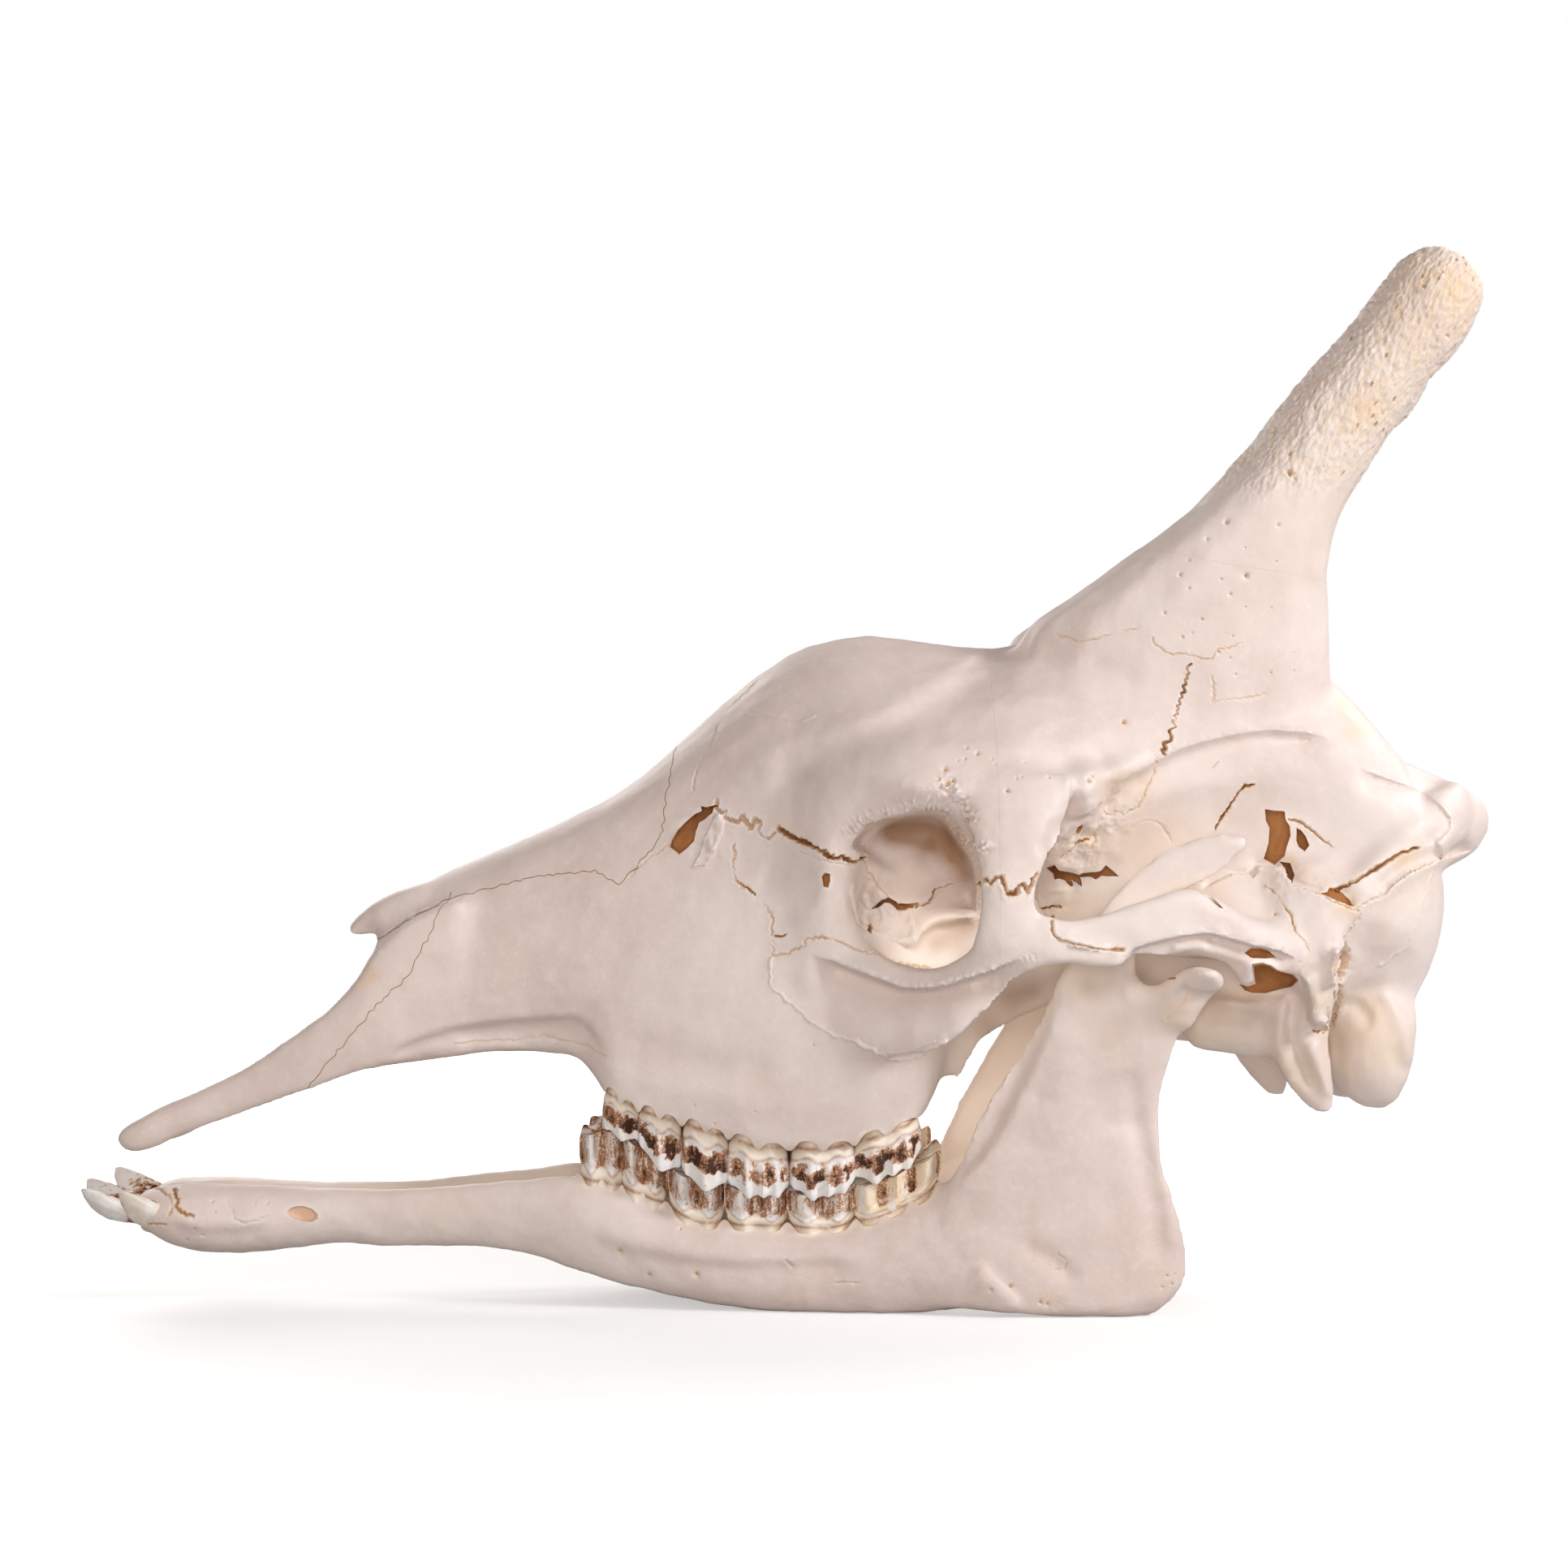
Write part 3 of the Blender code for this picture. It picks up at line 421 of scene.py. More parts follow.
# Small pits: column, row, half width and depth in millimetres.
skullPits = [
    (1343, 961, 1.4, 1.8), (1347, 955, 1.3, 0.9), (1385, 889, 1.2, 1.5), (1164, 948, 1.4, 1.2),
    (1168, 965, 1.8, 1.6), (1174, 961, 1.2, 1.2), (1157, 960, 1.0, 1.0), (1204, 928, 1.0, 1.0),
    (1191, 921, 0.9, 0.6), (1189, 935, 0.7, 0.8), (1292, 957, 0.8, 0.9), (1293, 948, 0.5, 0.6),
    (1241, 974, 1.0, 1.3), (1252, 959, 0.6, 0.7), (1259, 957, 0.5, 0.6), (1262, 939, 0.6, 0.7),
    (1222, 935, 0.6, 0.6), (1180, 937, 0.6, 0.6), (1226, 941, 0.6, 0.6), (1511, 643, 1.3, 1.2),
    (1487, 664, 0.9, 0.7), (1534, 675, 0.5, 0.6), (1536, 710, 1.3, 1.5), (1454, 708, 0.9, 1.0),
    (1465, 690, 0.6, 0.7), (1465, 725, 0.8, 0.8), (1435, 755, 0.8, 0.9), (1481, 763, 0.7, 0.8),
    (1516, 732, 0.9, 0.8), (1505, 714, 0.7, 0.6), (1535, 748, 0.6, 0.6), (1566, 749, 0.7, 0.6),
    (1457, 785, 0.8, 0.7), (1469, 780, 0.5, 0.6), (1519, 784, 0.6, 0.7), (1502, 803, 0.8, 0.9),
    (1516, 811, 0.7, 0.6), (1523, 831, 0.6, 0.8), (1566, 829, 0.7, 0.7), (1595, 827, 0.6, 0.6),
    (1594, 805, 0.5, 0.5), (1573, 692, 0.6, 0.6), (1575, 647, 1.0, 0.8), (1590, 583, 1.6, 1.6),
    (1595, 590, 1.0, 1.0), (1569, 530, 1.8, 1.5), (1565, 550, 0.8, 0.8), (1550, 555, 1.2, 0.8),
    (1571, 1126, 1.5, 0.6), (1590, 1180, 0.8, 0.8), (1602, 1186, 0.7, 0.7), (1783, 414, 1.3, 1.2),
    (1753, 352, 0.9, 1.0), (1806, 334, 0.9, 0.9), (1777, 335, 0.8, 0.8), (1719, 378, 0.8, 0.9),
    (1790, 390, 0.7, 0.8), (1744, 492, 0.7, 0.8), (1705, 510, 0.7, 0.7), (1144, 1335, 0.6, 0.6),
    (1002, 1288, 0.6, 0.5), (855, 1362, 0.5, 0.5), (880, 1385, 0.6, 0.5), (930, 1370, 0.5, 0.5),
]
jawPits = [
    (262, 1480, 0.8, 0.8), (240, 1515, 0.7, 0.7), (230, 1528, 0.7, 0.7), (250, 1522, 0.7, 0.6),
    (265, 1493, 0.6, 0.5), (330, 1482, 0.7, 0.6), (315, 1482, 0.5, 0.5), (838, 1514, 0.8, 0.8),
    (764, 1542, 1.6, 0.9), (800, 1571, 1.6, 0.7), (858, 1570, 1.6, 0.8), (1193, 1448, 0.6, 0.6),
    (1178, 1442, 0.9, 0.5), (1221, 1590, 0.8, 0.8), (1282, 1605, 1.0, 1.0), (1290, 1607, 0.9, 0.8),
    (1245, 1585, 1.0, 0.8), (1438, 1572, 0.8, 0.7), (1444, 1582, 0.8, 0.7), (1432, 1586, 0.8, 0.7),
    (1448, 1570, 0.6, 0.6),
]

# Patches of colour: column, row, radius in pixels and strength.
greyPatches = [
    (756, 1067, 9, 0.75), (777, 1045, 7, 0.65), (768, 1040, 4, 0.45), (790, 1036, 5, 0.7), (804, 1025, 3, 0.5),
    (762, 1038, 4, 0.4), (776, 1058, 6, 0.4), (975, 1132, 12, 0.8), (955, 1075, 26, 0.55),
    (1000, 1060, 26, 0.5), (905, 960, 36, 0.4), (975, 965, 40, 0.45), (1010, 900, 36, 0.3),
    (866, 1040, 16, 0.4), (1100, 940, 36, 0.35), (975, 1165, 14, 0.5), (1330, 930, 26, 0.3),
    (1250, 940, 30, 0.2), (760, 1130, 20, 0.3),
]
warmPatches = [
    (1668, 902, 16, 1.0), (1652, 868, 12, 0.7), (1640, 1090, 12, 0.9), (1612, 1080, 12, 1.0),
    (1590, 1060, 8, 1.0), (460, 1203, 9, 0.8), (445, 1212, 7, 0.5), (412, 1345, 16, 0.35),
    (560, 1490, 18, 0.35), (1655, 1112, 12, 0.9), (1735, 1055, 12, 0.8), (1720, 1060, 9, 0.7),
    (1790, 1055, 10, 0.4), (1457, 1238, 8, 0.5), (945, 1330, 30, 0.12), (1345, 1110, 16, 0.4),
    (1322, 1118, 12, 0.6), (1370, 975, 20, 0.5), (1400, 960, 16, 0.45), (1340, 1035, 20, 0.4),
    (1735, 380, 46, 0.25), (1790, 360, 30, 0.55), (1600, 560, 26, 0.3), (1690, 505, 20, 0.5),
    (1645, 1200, 14, 0.8), (1625, 1270, 8, 0.8), (1660, 1110, 14, 0.8), (1195, 1010, 14, 0.4),
    (1190, 1040, 12, 0.45), (1050, 1130, 16, 0.4), (1075, 1140, 12, 0.6), (1430, 1580, 16, 0.3),
    (1290, 1600, 14, 0.35), (1280, 1540, 18, 0.2), (1690, 1285, 26, 0.25), (1650, 1290, 22, 0.35),
    (1480, 1430, 20, 0.1), (715, 1525, 24, 0.15), (1660, 520, 24, 0.35),
]
roughPatches = [
    (1170, 985, 22, 0.9), (1195, 1020, 16, 0.9), (1140, 990, 18, 0.7), (1090, 1000, 16, 0.6),
    (1060, 1020, 14, 0.5), (1185, 960, 16, 0.6), (1625, 1262, 14, 1.0), (1620, 1240, 16, 0.4),
    (1190, 1205, 24, 0.5), (1250, 1185, 20, 0.4), (200, 1520, 36, 0.7), (270, 1525, 36, 0.6),
    (330, 1530, 30, 0.4), (1440, 1585, 22, 0.9), (1300, 1605, 24, 0.5), (760, 1540, 34, 0.45),
    (1690, 1280, 26, 0.4), (1080, 1300, 20, 0.3), (1240, 1590, 20, 0.5), (140, 1500, 20, 0.5),
]

creamPatches = [
    (1790, 350, 70, 0.5), (1720, 450, 60, 0.5), (1660, 560, 60, 0.45), (1600, 660, 60, 0.35),
    (1540, 760, 60, 0.2), (1700, 1290, 38, 0.9), (1690, 1240, 24, 0.7), (1625, 1230, 20, 0.8),
    (1600, 1330, 40, 0.6), (1570, 1285, 26, 0.4), (1500, 1260, 40, 0.75), (1440, 1250, 24, 0.6),
    (1340, 1215, 24, 0.8), (1370, 1280, 30, 0.5), (1760, 1080, 36, 0.45), (1720, 1150, 40, 0.25),
    (1150, 1150, 34, 0.4), (550, 1480, 50, 0.2), (1410, 980, 40, 0.3),
]
brightPatches = [
    (1560, 1110, 32, 1.0), (1520, 1080, 26, 0.7), (1600, 1130, 26, 0.7), (1690, 1010, 60, 0.6),
    (1600, 1010, 50, 0.5), (1350, 1090, 40, 0.8), (1480, 1000, 50, 0.5), (1440, 1120, 40, 0.5),
    (1100, 1060, 30, 0.4), (1080, 1140, 24, 0.4),
]
# Painted shadow: where shade falls under the eye socket's roof, under the cheek arch on the jaw, and round the
# ear.
paintedShadowPatches = [
    (1095, 1026, 15, 0.8), (1112, 1026, 17, 0.9), (1131, 1026, 18, 0.9), (1150, 1028, 18, 0.9),
    (1168, 1038, 16, 0.9), (1182, 1057, 14, 0.9), (1190, 1078, 12, 0.7), (1140, 1046, 18, 0.4),
    (1166, 1062, 16, 0.4), (1248, 1236, 24, 0.65), (1216, 1264, 20, 0.55), (1275, 1222, 18, 0.5),
    (1350, 1232, 22, 0.25), (1380, 1232, 22, 0.25), (1150, 1162, 15, 0.35), (1170, 1155, 18, 0.45),
    (1190, 1140, 14, 0.5), (1340, 1213, 20, 0.5), (1370, 1208, 20, 0.5), (1405, 1203, 18, 0.4),
    (1628, 1232, 14, 0.3), (1500, 1238, 22, 0.3), (1545, 1250, 20, 0.3), (1290, 1050, 14, 0.3),
    (1372, 1262, 30, 0.2), (1300, 1115, 12, 0.3), (1590, 1305, 22, 0.15),
]

crumpledPatches = [
    (1325, 1045, 34, 1.0), (1310, 1100, 24, 1.0), (1360, 1005, 30, 0.9), (1390, 975, 24, 0.5),
    (1085, 1125, 32, 1.0), (1575, 1085, 26, 0.7), (1645, 1105, 26, 0.8), (1650, 1180, 20, 0.8),
    (1620, 1250, 18, 0.6), (1560, 1250, 20, 0.4), (870, 1036, 20, 0.5), (195, 1480, 24, 0.8),
    (1435, 1585, 18, 0.6),
]

# Thin plates that lie on the bone: the outline in the photo and the height in millimetres.
skullPlates = [
    dict(outline=[(853, 1069), (862, 1052), (866, 1036), (874, 1022), (880, 1006), (887, 1003), (893, 1014),
        (890, 1028), (884, 1040), (880, 1056), (870, 1066)], height=1.3),
    dict(outline=[(1046, 1094), (1062, 1080), (1076, 1085), (1090, 1101), (1100, 1109), (1124, 1121),
        (1127, 1146), (1122, 1168), (1100, 1160), (1076, 1150), (1056, 1138)], height=1.0),
]


def holeCutter(tree, name, hole, side):
    # a plug along the line of sight, from outside the bone to the hole's floor
    depth, narrowing, outline = hole
    lines = [sightLine(column, row, side) for column, row in outline]
    reaches = sorted(hit[3] for hit in (tree.ray_cast(*line) for line in lines) if hit[0] is not None)
    if not reaches:
        return None
    near, far = reaches[0] - 5 * mm, reaches[len(reaches) // 2] + depth * mm
    mouth = [eye + way * near for eye, way in lines]
    floor = [eye + way * far for eye, way in lines]
    middle = sum(floor, Vector()) / len(floor)
    floor = [middle + (spot - middle) * narrowing for spot in floor]
    shape = bmesh.new()
    rings = [[shape.verts.new(spot) for spot in ring] for ring in (mouth, floor)]
    for i in range(len(lines)):
        j = (i + 1) % len(lines)
        shape.faces.new((rings[0][i], rings[0][j], rings[1][j], rings[1][i]))
    shape.faces.new(rings[0])
    shape.faces.new(rings[1])
    bmesh.ops.recalc_face_normals(shape, faces=shape.faces)
    bmesh.ops.triangulate(shape, faces=shape.faces)
    mesh = bpy.data.meshes.new(name)
    shape.to_mesh(mesh)
    shape.free()
    return putIn(name, mesh)


def traceSeams(tree, seams, sides):
    # every seam on the bone: its points, and the half width, depth and stain at each
    points, sizes = [], []
    for number, (swing, wave, width, depth, stain, path) in enumerate(seams.values()):
        for side in sides:
            line = landOn(tree, wander(path, 0.8, swing, wave, number * 2 + side), side)
            dice = random.Random(number * 7 + side)
            strength = 1.0
            for point in line:
                strength += dice.uniform(-0.12, 0.12) + (0.95 - strength) * 0.05
                points.append(point)
                sizes.append((width * max(0.35, strength) * mm, depth * max(0.3, strength) * mm,
                              stain * min(1.0, max(0.25, strength))))
    return points, np.array(sizes)


# The skin is split finer round seams, pits and crisp edges: how far round them, and the longest edge there.
fineRound = {"seams": 2.4 * mm, "pits": 2.8 * mm, "longest": 0.75 * mm}


def refine(piece, chosen):
    # splits the longer edges among the chosen spots
    shape = bmesh.new()
    shape.from_mesh(piece.data)
    edges = [edge for edge in shape.edges if edge.calc_length() > fineRound["longest"]
             and chosen[edge.verts[0].index] and chosen[edge.verts[1].index]]
    bmesh.ops.subdivide_edges(shape, edges=edges, cuts=1, use_grid_fill=True)
    bmesh.ops.triangulate(shape, faces=[face for face in shape.faces if len(face.verts) > 4])
    shape.to_mesh(piece.data)
    shape.free()


def nearPhoto(piece, places):
    # which spots are seen within some pixels of a place: column, row and reach
    spots = readSpots(piece)
    columns, rows = photoPlaces(spots)
    chosen = np.zeros(len(spots), bool)
    for column, row, reach in places:
        chosen |= np.hypot(columns - column, rows - row) < reach
    return chosen


def photoShare(piece, places, toward=0.0):
    # how much of some round patches of the photo each spot that faces outwards takes
    # the patches: column, row, radius and strength
    spots, normals = readSpots(piece), readNormals(piece)
    columns, rows = photoPlaces(spots)
    facing = smoothStep(toward, toward + 0.3, normals[:, 1] * np.sign(spots[:, 1]))
    return facing * sum(strength * bump(np.hypot(columns - column, rows - row), radius)
                        for column, row, radius, strength in places)


def layPlates(piece, plates):
    # raises the bone within each outline by a thin plate's height
    for plate in plates:
        spots, normals = readSpots(piece), readNormals(piece)
        columns, rows = photoPlaces(spots)
        outline = np.array(plate["outline"], float)
        near = np.nonzero((columns > outline[:, 0].min() - 5) & (columns < outline[:, 0].max() + 5)
                          & (rows > outline[:, 1].min() - 5) & (rows < outline[:, 1].max() + 5)
                          & (normals[:, 1] * spots[:, 1] > 0))[0]
        x, y = columns[near], rows[near]
        inside = np.zeros(len(near), bool)
        edge = np.full(len(near), 99.0)
        for (ax, ay), (bx, by) in zip(outline, np.roll(outline, -1, axis=0)):
            crosses = (ay > y) != (by > y)
            inside ^= crosses & (x < ax + (y - ay) * (bx - ax) / (by - ay if by != ay else 1e-9))
            t = np.clip(((x - ax) * (bx - ax) + (y - ay) * (by - ay)) / ((bx - ax) ** 2 + (by - ay) ** 2), 0, 1)
            edge = np.minimum(edge, np.hypot(x - ax - t * (bx - ax), y - ay - t * (by - ay)))
        lift = plate["height"] * smoothStep(-0.8, 1.2, np.where(inside, edge, -edge))
        crumple = np.array([noise.noise(Vector(spot) / 0.004) for spot in spots[near]])
        spots[near] += normals[near] * (lift * (1 + 0.5 * crumple) * mm)[:, None]
        writeSpots(piece, spots)


def carveSeams(piece, points, sizes):
    # sinks each seam into the bone, with a low lip on both sides
    spots, normals = readSpots(piece), readNormals(piece)
    distance, which = nearest(spots, points)
    width, depth = sizes[which, 0], sizes[which, 1]
    trench = depth * smoothStep(1.25, 0.35, distance / width)
    lip = 0.12 * np.abs(depth) * bump(distance - 2.2 * width, 1.1 * width)
    writeSpots(piece, spots + normals * (np.minimum(lip, 0.2 * mm) - trench)[:, None])
    return sizes[which, 2] * (bump(distance, 1.1 * width) + 0.30 * bump(distance, 4.0 * width))


def tracePits(tree, pits, sides):
    # where the pits lie, and the half width, depth and stain of each
    points, sizes = [], []
    for side in sides:
        for column, row, width, depth in pits:
            for point in landOn(tree, [(column, row)], side):
                points.append(point)
                sizes.append((0.8 * width * mm, depth * mm, 0.7))
    return points, np.array(sizes)


def carvePits(piece, points, sizes):
    # sinks the pits and gives the stain of each spot
    spots, normals = readSpots(piece), readNormals(piece)
    stained = np.zeros(len(spots))
    for point, (width, depth, stain) in zip(points, sizes):
        distance = np.linalg.norm(spots - np.array(point), axis=1)
        spots = spots - normals * (depth * 1.3 * bump(distance, width))[:, None]
        stained += stain * bump(distance, 1.1 * width)
    writeSpots(piece, spots)
    return stained


def ledge(path, drop, sharp, fade, **more):
    # an edge whose right side, seen along the path, is lower by drop, and comes back up as far off as fade
    return {"path": path, "drop": drop, "sharp": sharp, "fade": fade, **more}


def swell(path, lift, width, **more):
    # a ridge, or a groove where lift is negative
    return {"path": path, "lift": lift, "width": width, **more}


# Millimetres to a pixel on the near side, and on what stands out furthest.
nearPixel = 0.365
leastPixel = 0.34


def strokeReach(stroke, tree, spots, columns, rows):
    # for the spots near a stroke: which they are, how far off in mm and to which side, and how far along it, as
    # a share and in mm
    points, at = evenPath(stroke["path"], 2)
    outs = []
    for column, row in points:
        spot = tree.ray_cast(*sightLine(column, row, -1))[0]
        outs.append(np.nan if spot is None else -spot.y)
    outs = np.array(outs)
    known = ~np.isnan(outs)
    if not known.any():
        return None
    outs = np.interp(at, at[known], outs[known])
    reach = stroke.get("fade", stroke.get("width", 0) * 2.5) / leastPixel
    low, high = points.min(0) - reach, points.max(0) + reach
    chosen = np.nonzero((columns > low[0]) & (columns < high[0]) & (rows > low[1]) & (rows < high[1]))[0]
    if len(chosen) == 0:
        return None
    flat = np.column_stack([columns[chosen], rows[chosen], np.zeros(len(chosen))])
    distance, which = nearest(flat, np.column_stack([points, np.zeros(len(points))]))
    off = flat[:, :2] - points[which]
    ahead = np.gradient(points, axis=0)[which]
    side = np.sign(off[:, 0] * -ahead[:, 1] + off[:, 1] * ahead[:, 0])
    near = np.abs(np.abs(spots[chosen, 1]) - outs[which]) < stroke.get("depth", 14) * mm
    along, arc = at[which] / max(at[-1], 1), at[which] * nearPixel
    return chosen[near], (distance * nearPixel)[near], side[near], along[near], arc[near]


def sculpt(piece, tree, strokes):
    # works the strokes into both halves, along the line of sight
    for stroke in strokes:
        spots, normals = readSpots(piece), readNormals(piece)
        outward = np.sign(spots[:, 1])
        columns, rows = photoPlaces(spots)
        found = strokeReach(stroke, tree, spots, columns, rows)
        if found is None:
            continue
        chosen, distance, side, along, arc = found
        taper = stroke.get("taper", 0.15)
        strength = smoothStep(0, taper, along) * smoothStep(0, taper, 1 - along) if taper else 1.0
        if "drop" in stroke:
            # the side on the right of the path sinks, and comes back up further off
            off = distance * side
            sharp, fade = stroke["sharp"], stroke["fade"]
            lift = -stroke["drop"] * smoothStep(-0.25 * sharp, sharp, off) * (1 - smoothStep(sharp, fade, off))
            lift = lift + stroke.get("lip", 0.12) * stroke["drop"] * bump(off + 0.6 * sharp, sharp)
        else:
            lift = stroke["lift"] * bump(distance, stroke["width"])
        facing = smoothStep(-0.1, 0.15, normals[chosen, 1] * outward[chosen])
        spots[chosen, 1] += outward[chosen] * lift * strength * facing * mm
        writeSpots(piece, spots)


def mould(piece, controls):
    # pulls the bone out or in until it lies as far out as it should at each control
    # the controls: column, row, how far out, and reach in mm
    spots, normals = readSpots(piece), readNormals(piece)
    outward = np.sign(spots[:, 1])
    for column, row, out, reach in controls:
        columns, rows = photoPlaces(spots)
        away = np.hypot(columns - column, rows - row)
        here = away < 6
        if here.any():
            now = np.abs(spots[here, 1]).max()
            close = (away * nearPixel < reach) & (np.abs(spots[:, 1]) > now - 16 * mm)
            close &= normals[:, 1] * outward > -0.1
            share = (1 - (away[close] * nearPixel / reach) ** 2) ** 2
            spots[close, 1] += outward[close] * (out * mm - now) * share
    writeSpots(piece, spots)


def wrinkle(piece, tree, folds):
    # the fine folds that run straight away from an edge
    for fold in folds:
        spots, normals = readSpots(piece), readNormals(piece)
        columns, rows = photoPlaces(spots)
        found = strokeReach(fold, tree, spots, columns, rows)
        if found is None:
            continue
        chosen, distance, side, along, arc = found
        off = distance * side
        period = fold["period"]
        wave = np.array([noise.noise(Vector((a / period, d / 9, period))) for a, d in zip(arc, off)])
        knobs = np.array([noise.noise(Vector(spot) / 0.0021) for spot in spots[chosen]])
        share = smoothStep(-1.0, 0.6, off) * smoothStep(fold["fade"], 0.3 * fold["fade"], off)
        share = share * smoothStep(0, 0.12, along) * smoothStep(0, 0.12, 1 - along)
        lift = fold["height"] * share * (1.6 * np.abs(wave) - 0.5 + fold.get("knobs", 0.3) * knobs)
        spots[chosen] += normals[chosen] * (lift * mm)[:, None]
        writeSpots(piece, spots)


def roughen(piece, height, size, octaves=3, where=None, stretch=None):
    # uneven growth of the bone; where says how much of it each spot takes
    spots, normals = readSpots(piece), readNormals(piece)
    share = np.ones(len(spots)) if where is None else where
    at = (spots if stretch is None else spots @ stretch) / size
    lift = np.zeros(len(spots))
    for i in np.nonzero(share > 0.01)[0]:
        lift[i] = noise.fractal(Vector(at[i]), 1.0, 2.0, octaves)
    writeSpots(piece, spots + normals * (height * share * lift)[:, None])


# The rows of cheek teeth

bite = {
    "line": [(-98, 73), (-88, 75), (-80, 76), (-73, 74), (-57, 63), (-38, 56), (-12, 53), (18, 53), (45, 60),
             (60, 67), (76, 76)],
    "edge": 54,     # how far out that line lies
    "rise": 0.4,    # and how it rises inwards
    "upperGums": [(-86, 103), (-76, 98), (-66, 93), (-38, 85), (-12, 77), (16, 76), (35, 79), (57, 87),
                  (66, 94)],
    "lowerGums": [(-96, 60), (-75, 56), (-57, 49), (-40, 40), (0, 39), (20, 38), (45, 44), (60, 51), (74, 60)],
}
# Front and back, the outer face, the width across and the lobes, all in millimetres.
upperTeeth = [(-84, -67, 46, 16, 1), (-67.5, -47.5, 50, 20, 1), (-47, -25.5, 54, 24, 1),
              (-26, 2, 57, 27, 2), (3, 33, 58, 28, 2), (32, 63, 56, 25, 2)]
lowerTeeth = [(-95, -75, 39, 12, 2), (-76, -55, 43, 15, 2), (-53.5, -28, 47, 18, 2),
              (-27, 1.5, 50, 19, 2), (2, 33.5, 52, 19, 2), (32, 72, 54, 17, 3)]


def lineHeight(line, x):
    return np.interp(x, [point[0] for point in line], [point[1] for point in line])


def plainGums(x, up):
    return lineHeight(bite["upperGums" if up > 0 else "lowerGums"], x)


def rootPlaces(lobes):
    # from -1 at a tooth's front edge to 1 at its back edge
    return [-0.5, 0.5] if lobes < 3 else [-0.62, 0.0, 0.62]


def gumLine(x, up):
    # the bone's edge at each x: it draws back over the roots and comes forward between them
    swing = np.zeros_like(x)
    for front, back, outer, width, lobes in (upperTeeth if up > 0 else lowerTeeth):
        middle, half = (front + back) / 2, (back - front) / 2
        roots = rootPlaces(lobes)
        for number, at in enumerate(roots):
            size = (5.2 if number == 0 else 3.8) if up > 0 else 4.4
            off = (x - middle - at * half) / (0.72 * half / len(roots))
            swing = np.maximum(swing, size * np.exp(-off ** 4))
    return plainGums(x, up) + up * (swing - 2.4)


def rowCutter(name, front, back, up, slack):
    # a block over the plain crowns of a whole row, whose one face follows the gum line
    block = plainMesh(bpy.ops.mesh.primitive_grid_add, name, x_subdivisions=150, y_subdivisions=1, size=1)
    editAll(block, (bpy.ops.mesh.extrude_region_move, {"TRANSFORM_OT_translate": {"value": (0, 0, 1)}}))
    spots = readSpots(block)
    x = front + (back - front) * (spots[:, 0] + 0.5)
    far = 20 if up > 0 else 130
    z = np.where(spots[:, 2] > 0.5, far, gumLine(x, up) + up * slack)
    writeSpots(block, np.column_stack([x, spots[:, 1] * 156, z]) * mm)
    turnFacesOut(block)
    return block


# The rim and the ribs of a cheek tooth's outer face, from its front edge at -1 to its back edge at 1, in
# millimetres.
molarRim = [(-1, 4.6), (-0.62, 2.6), (-0.28, 0), (0.04, 2.9), (0.26, 0.7), (0.46, 1.6), (0.68, 0.2), (1, 4.2)]
premolarRim = [(-1, 4.4), (-0.5, 2.2), (0.04, 0), (0.45, 1.6), (1, 4.2)]
lowerRims = {1: [(-1, 2.6), (-0.3, 0), (0.45, 0.8), (1, 2.8)],
             2: [(-1, 2.6), (-0.52, 0), (0.0, 2.4), (0.5, 0.1), (1, 2.6)],
             3: [(-1, 2.6), (-0.64, 0), (-0.33, 2.2), (0.0, 0.2), (0.36, 2.2), (0.68, 0.7), (1, 3.6)]}
molarRibs = [(-0.92, 2.4, 0.12), (-0.34, 2.3, 0.17), (0.12, 3.2, 0.13), (0.60, 2.0, 0.17), (0.95, 2.0, 0.1)]
premolarRibs = [(-0.88, 2.0, 0.14), (0.03, 2.6, 0.34), (0.9, 2.0, 0.13)]


def toothBall(name, segments, rings):
    # a ball to be drawn out into a tooth, each spot's turn round its axis, and its level from pole to pole
    tooth = plainMesh(bpy.ops.mesh.primitive_uv_sphere_add, name, segments=segments, ring_count=rings, radius=1)
    x, y, z = readSpots(tooth).T
    return tooth, np.arctan2(y, x), np.arccos(np.clip(z, -1, 1)) / math.pi


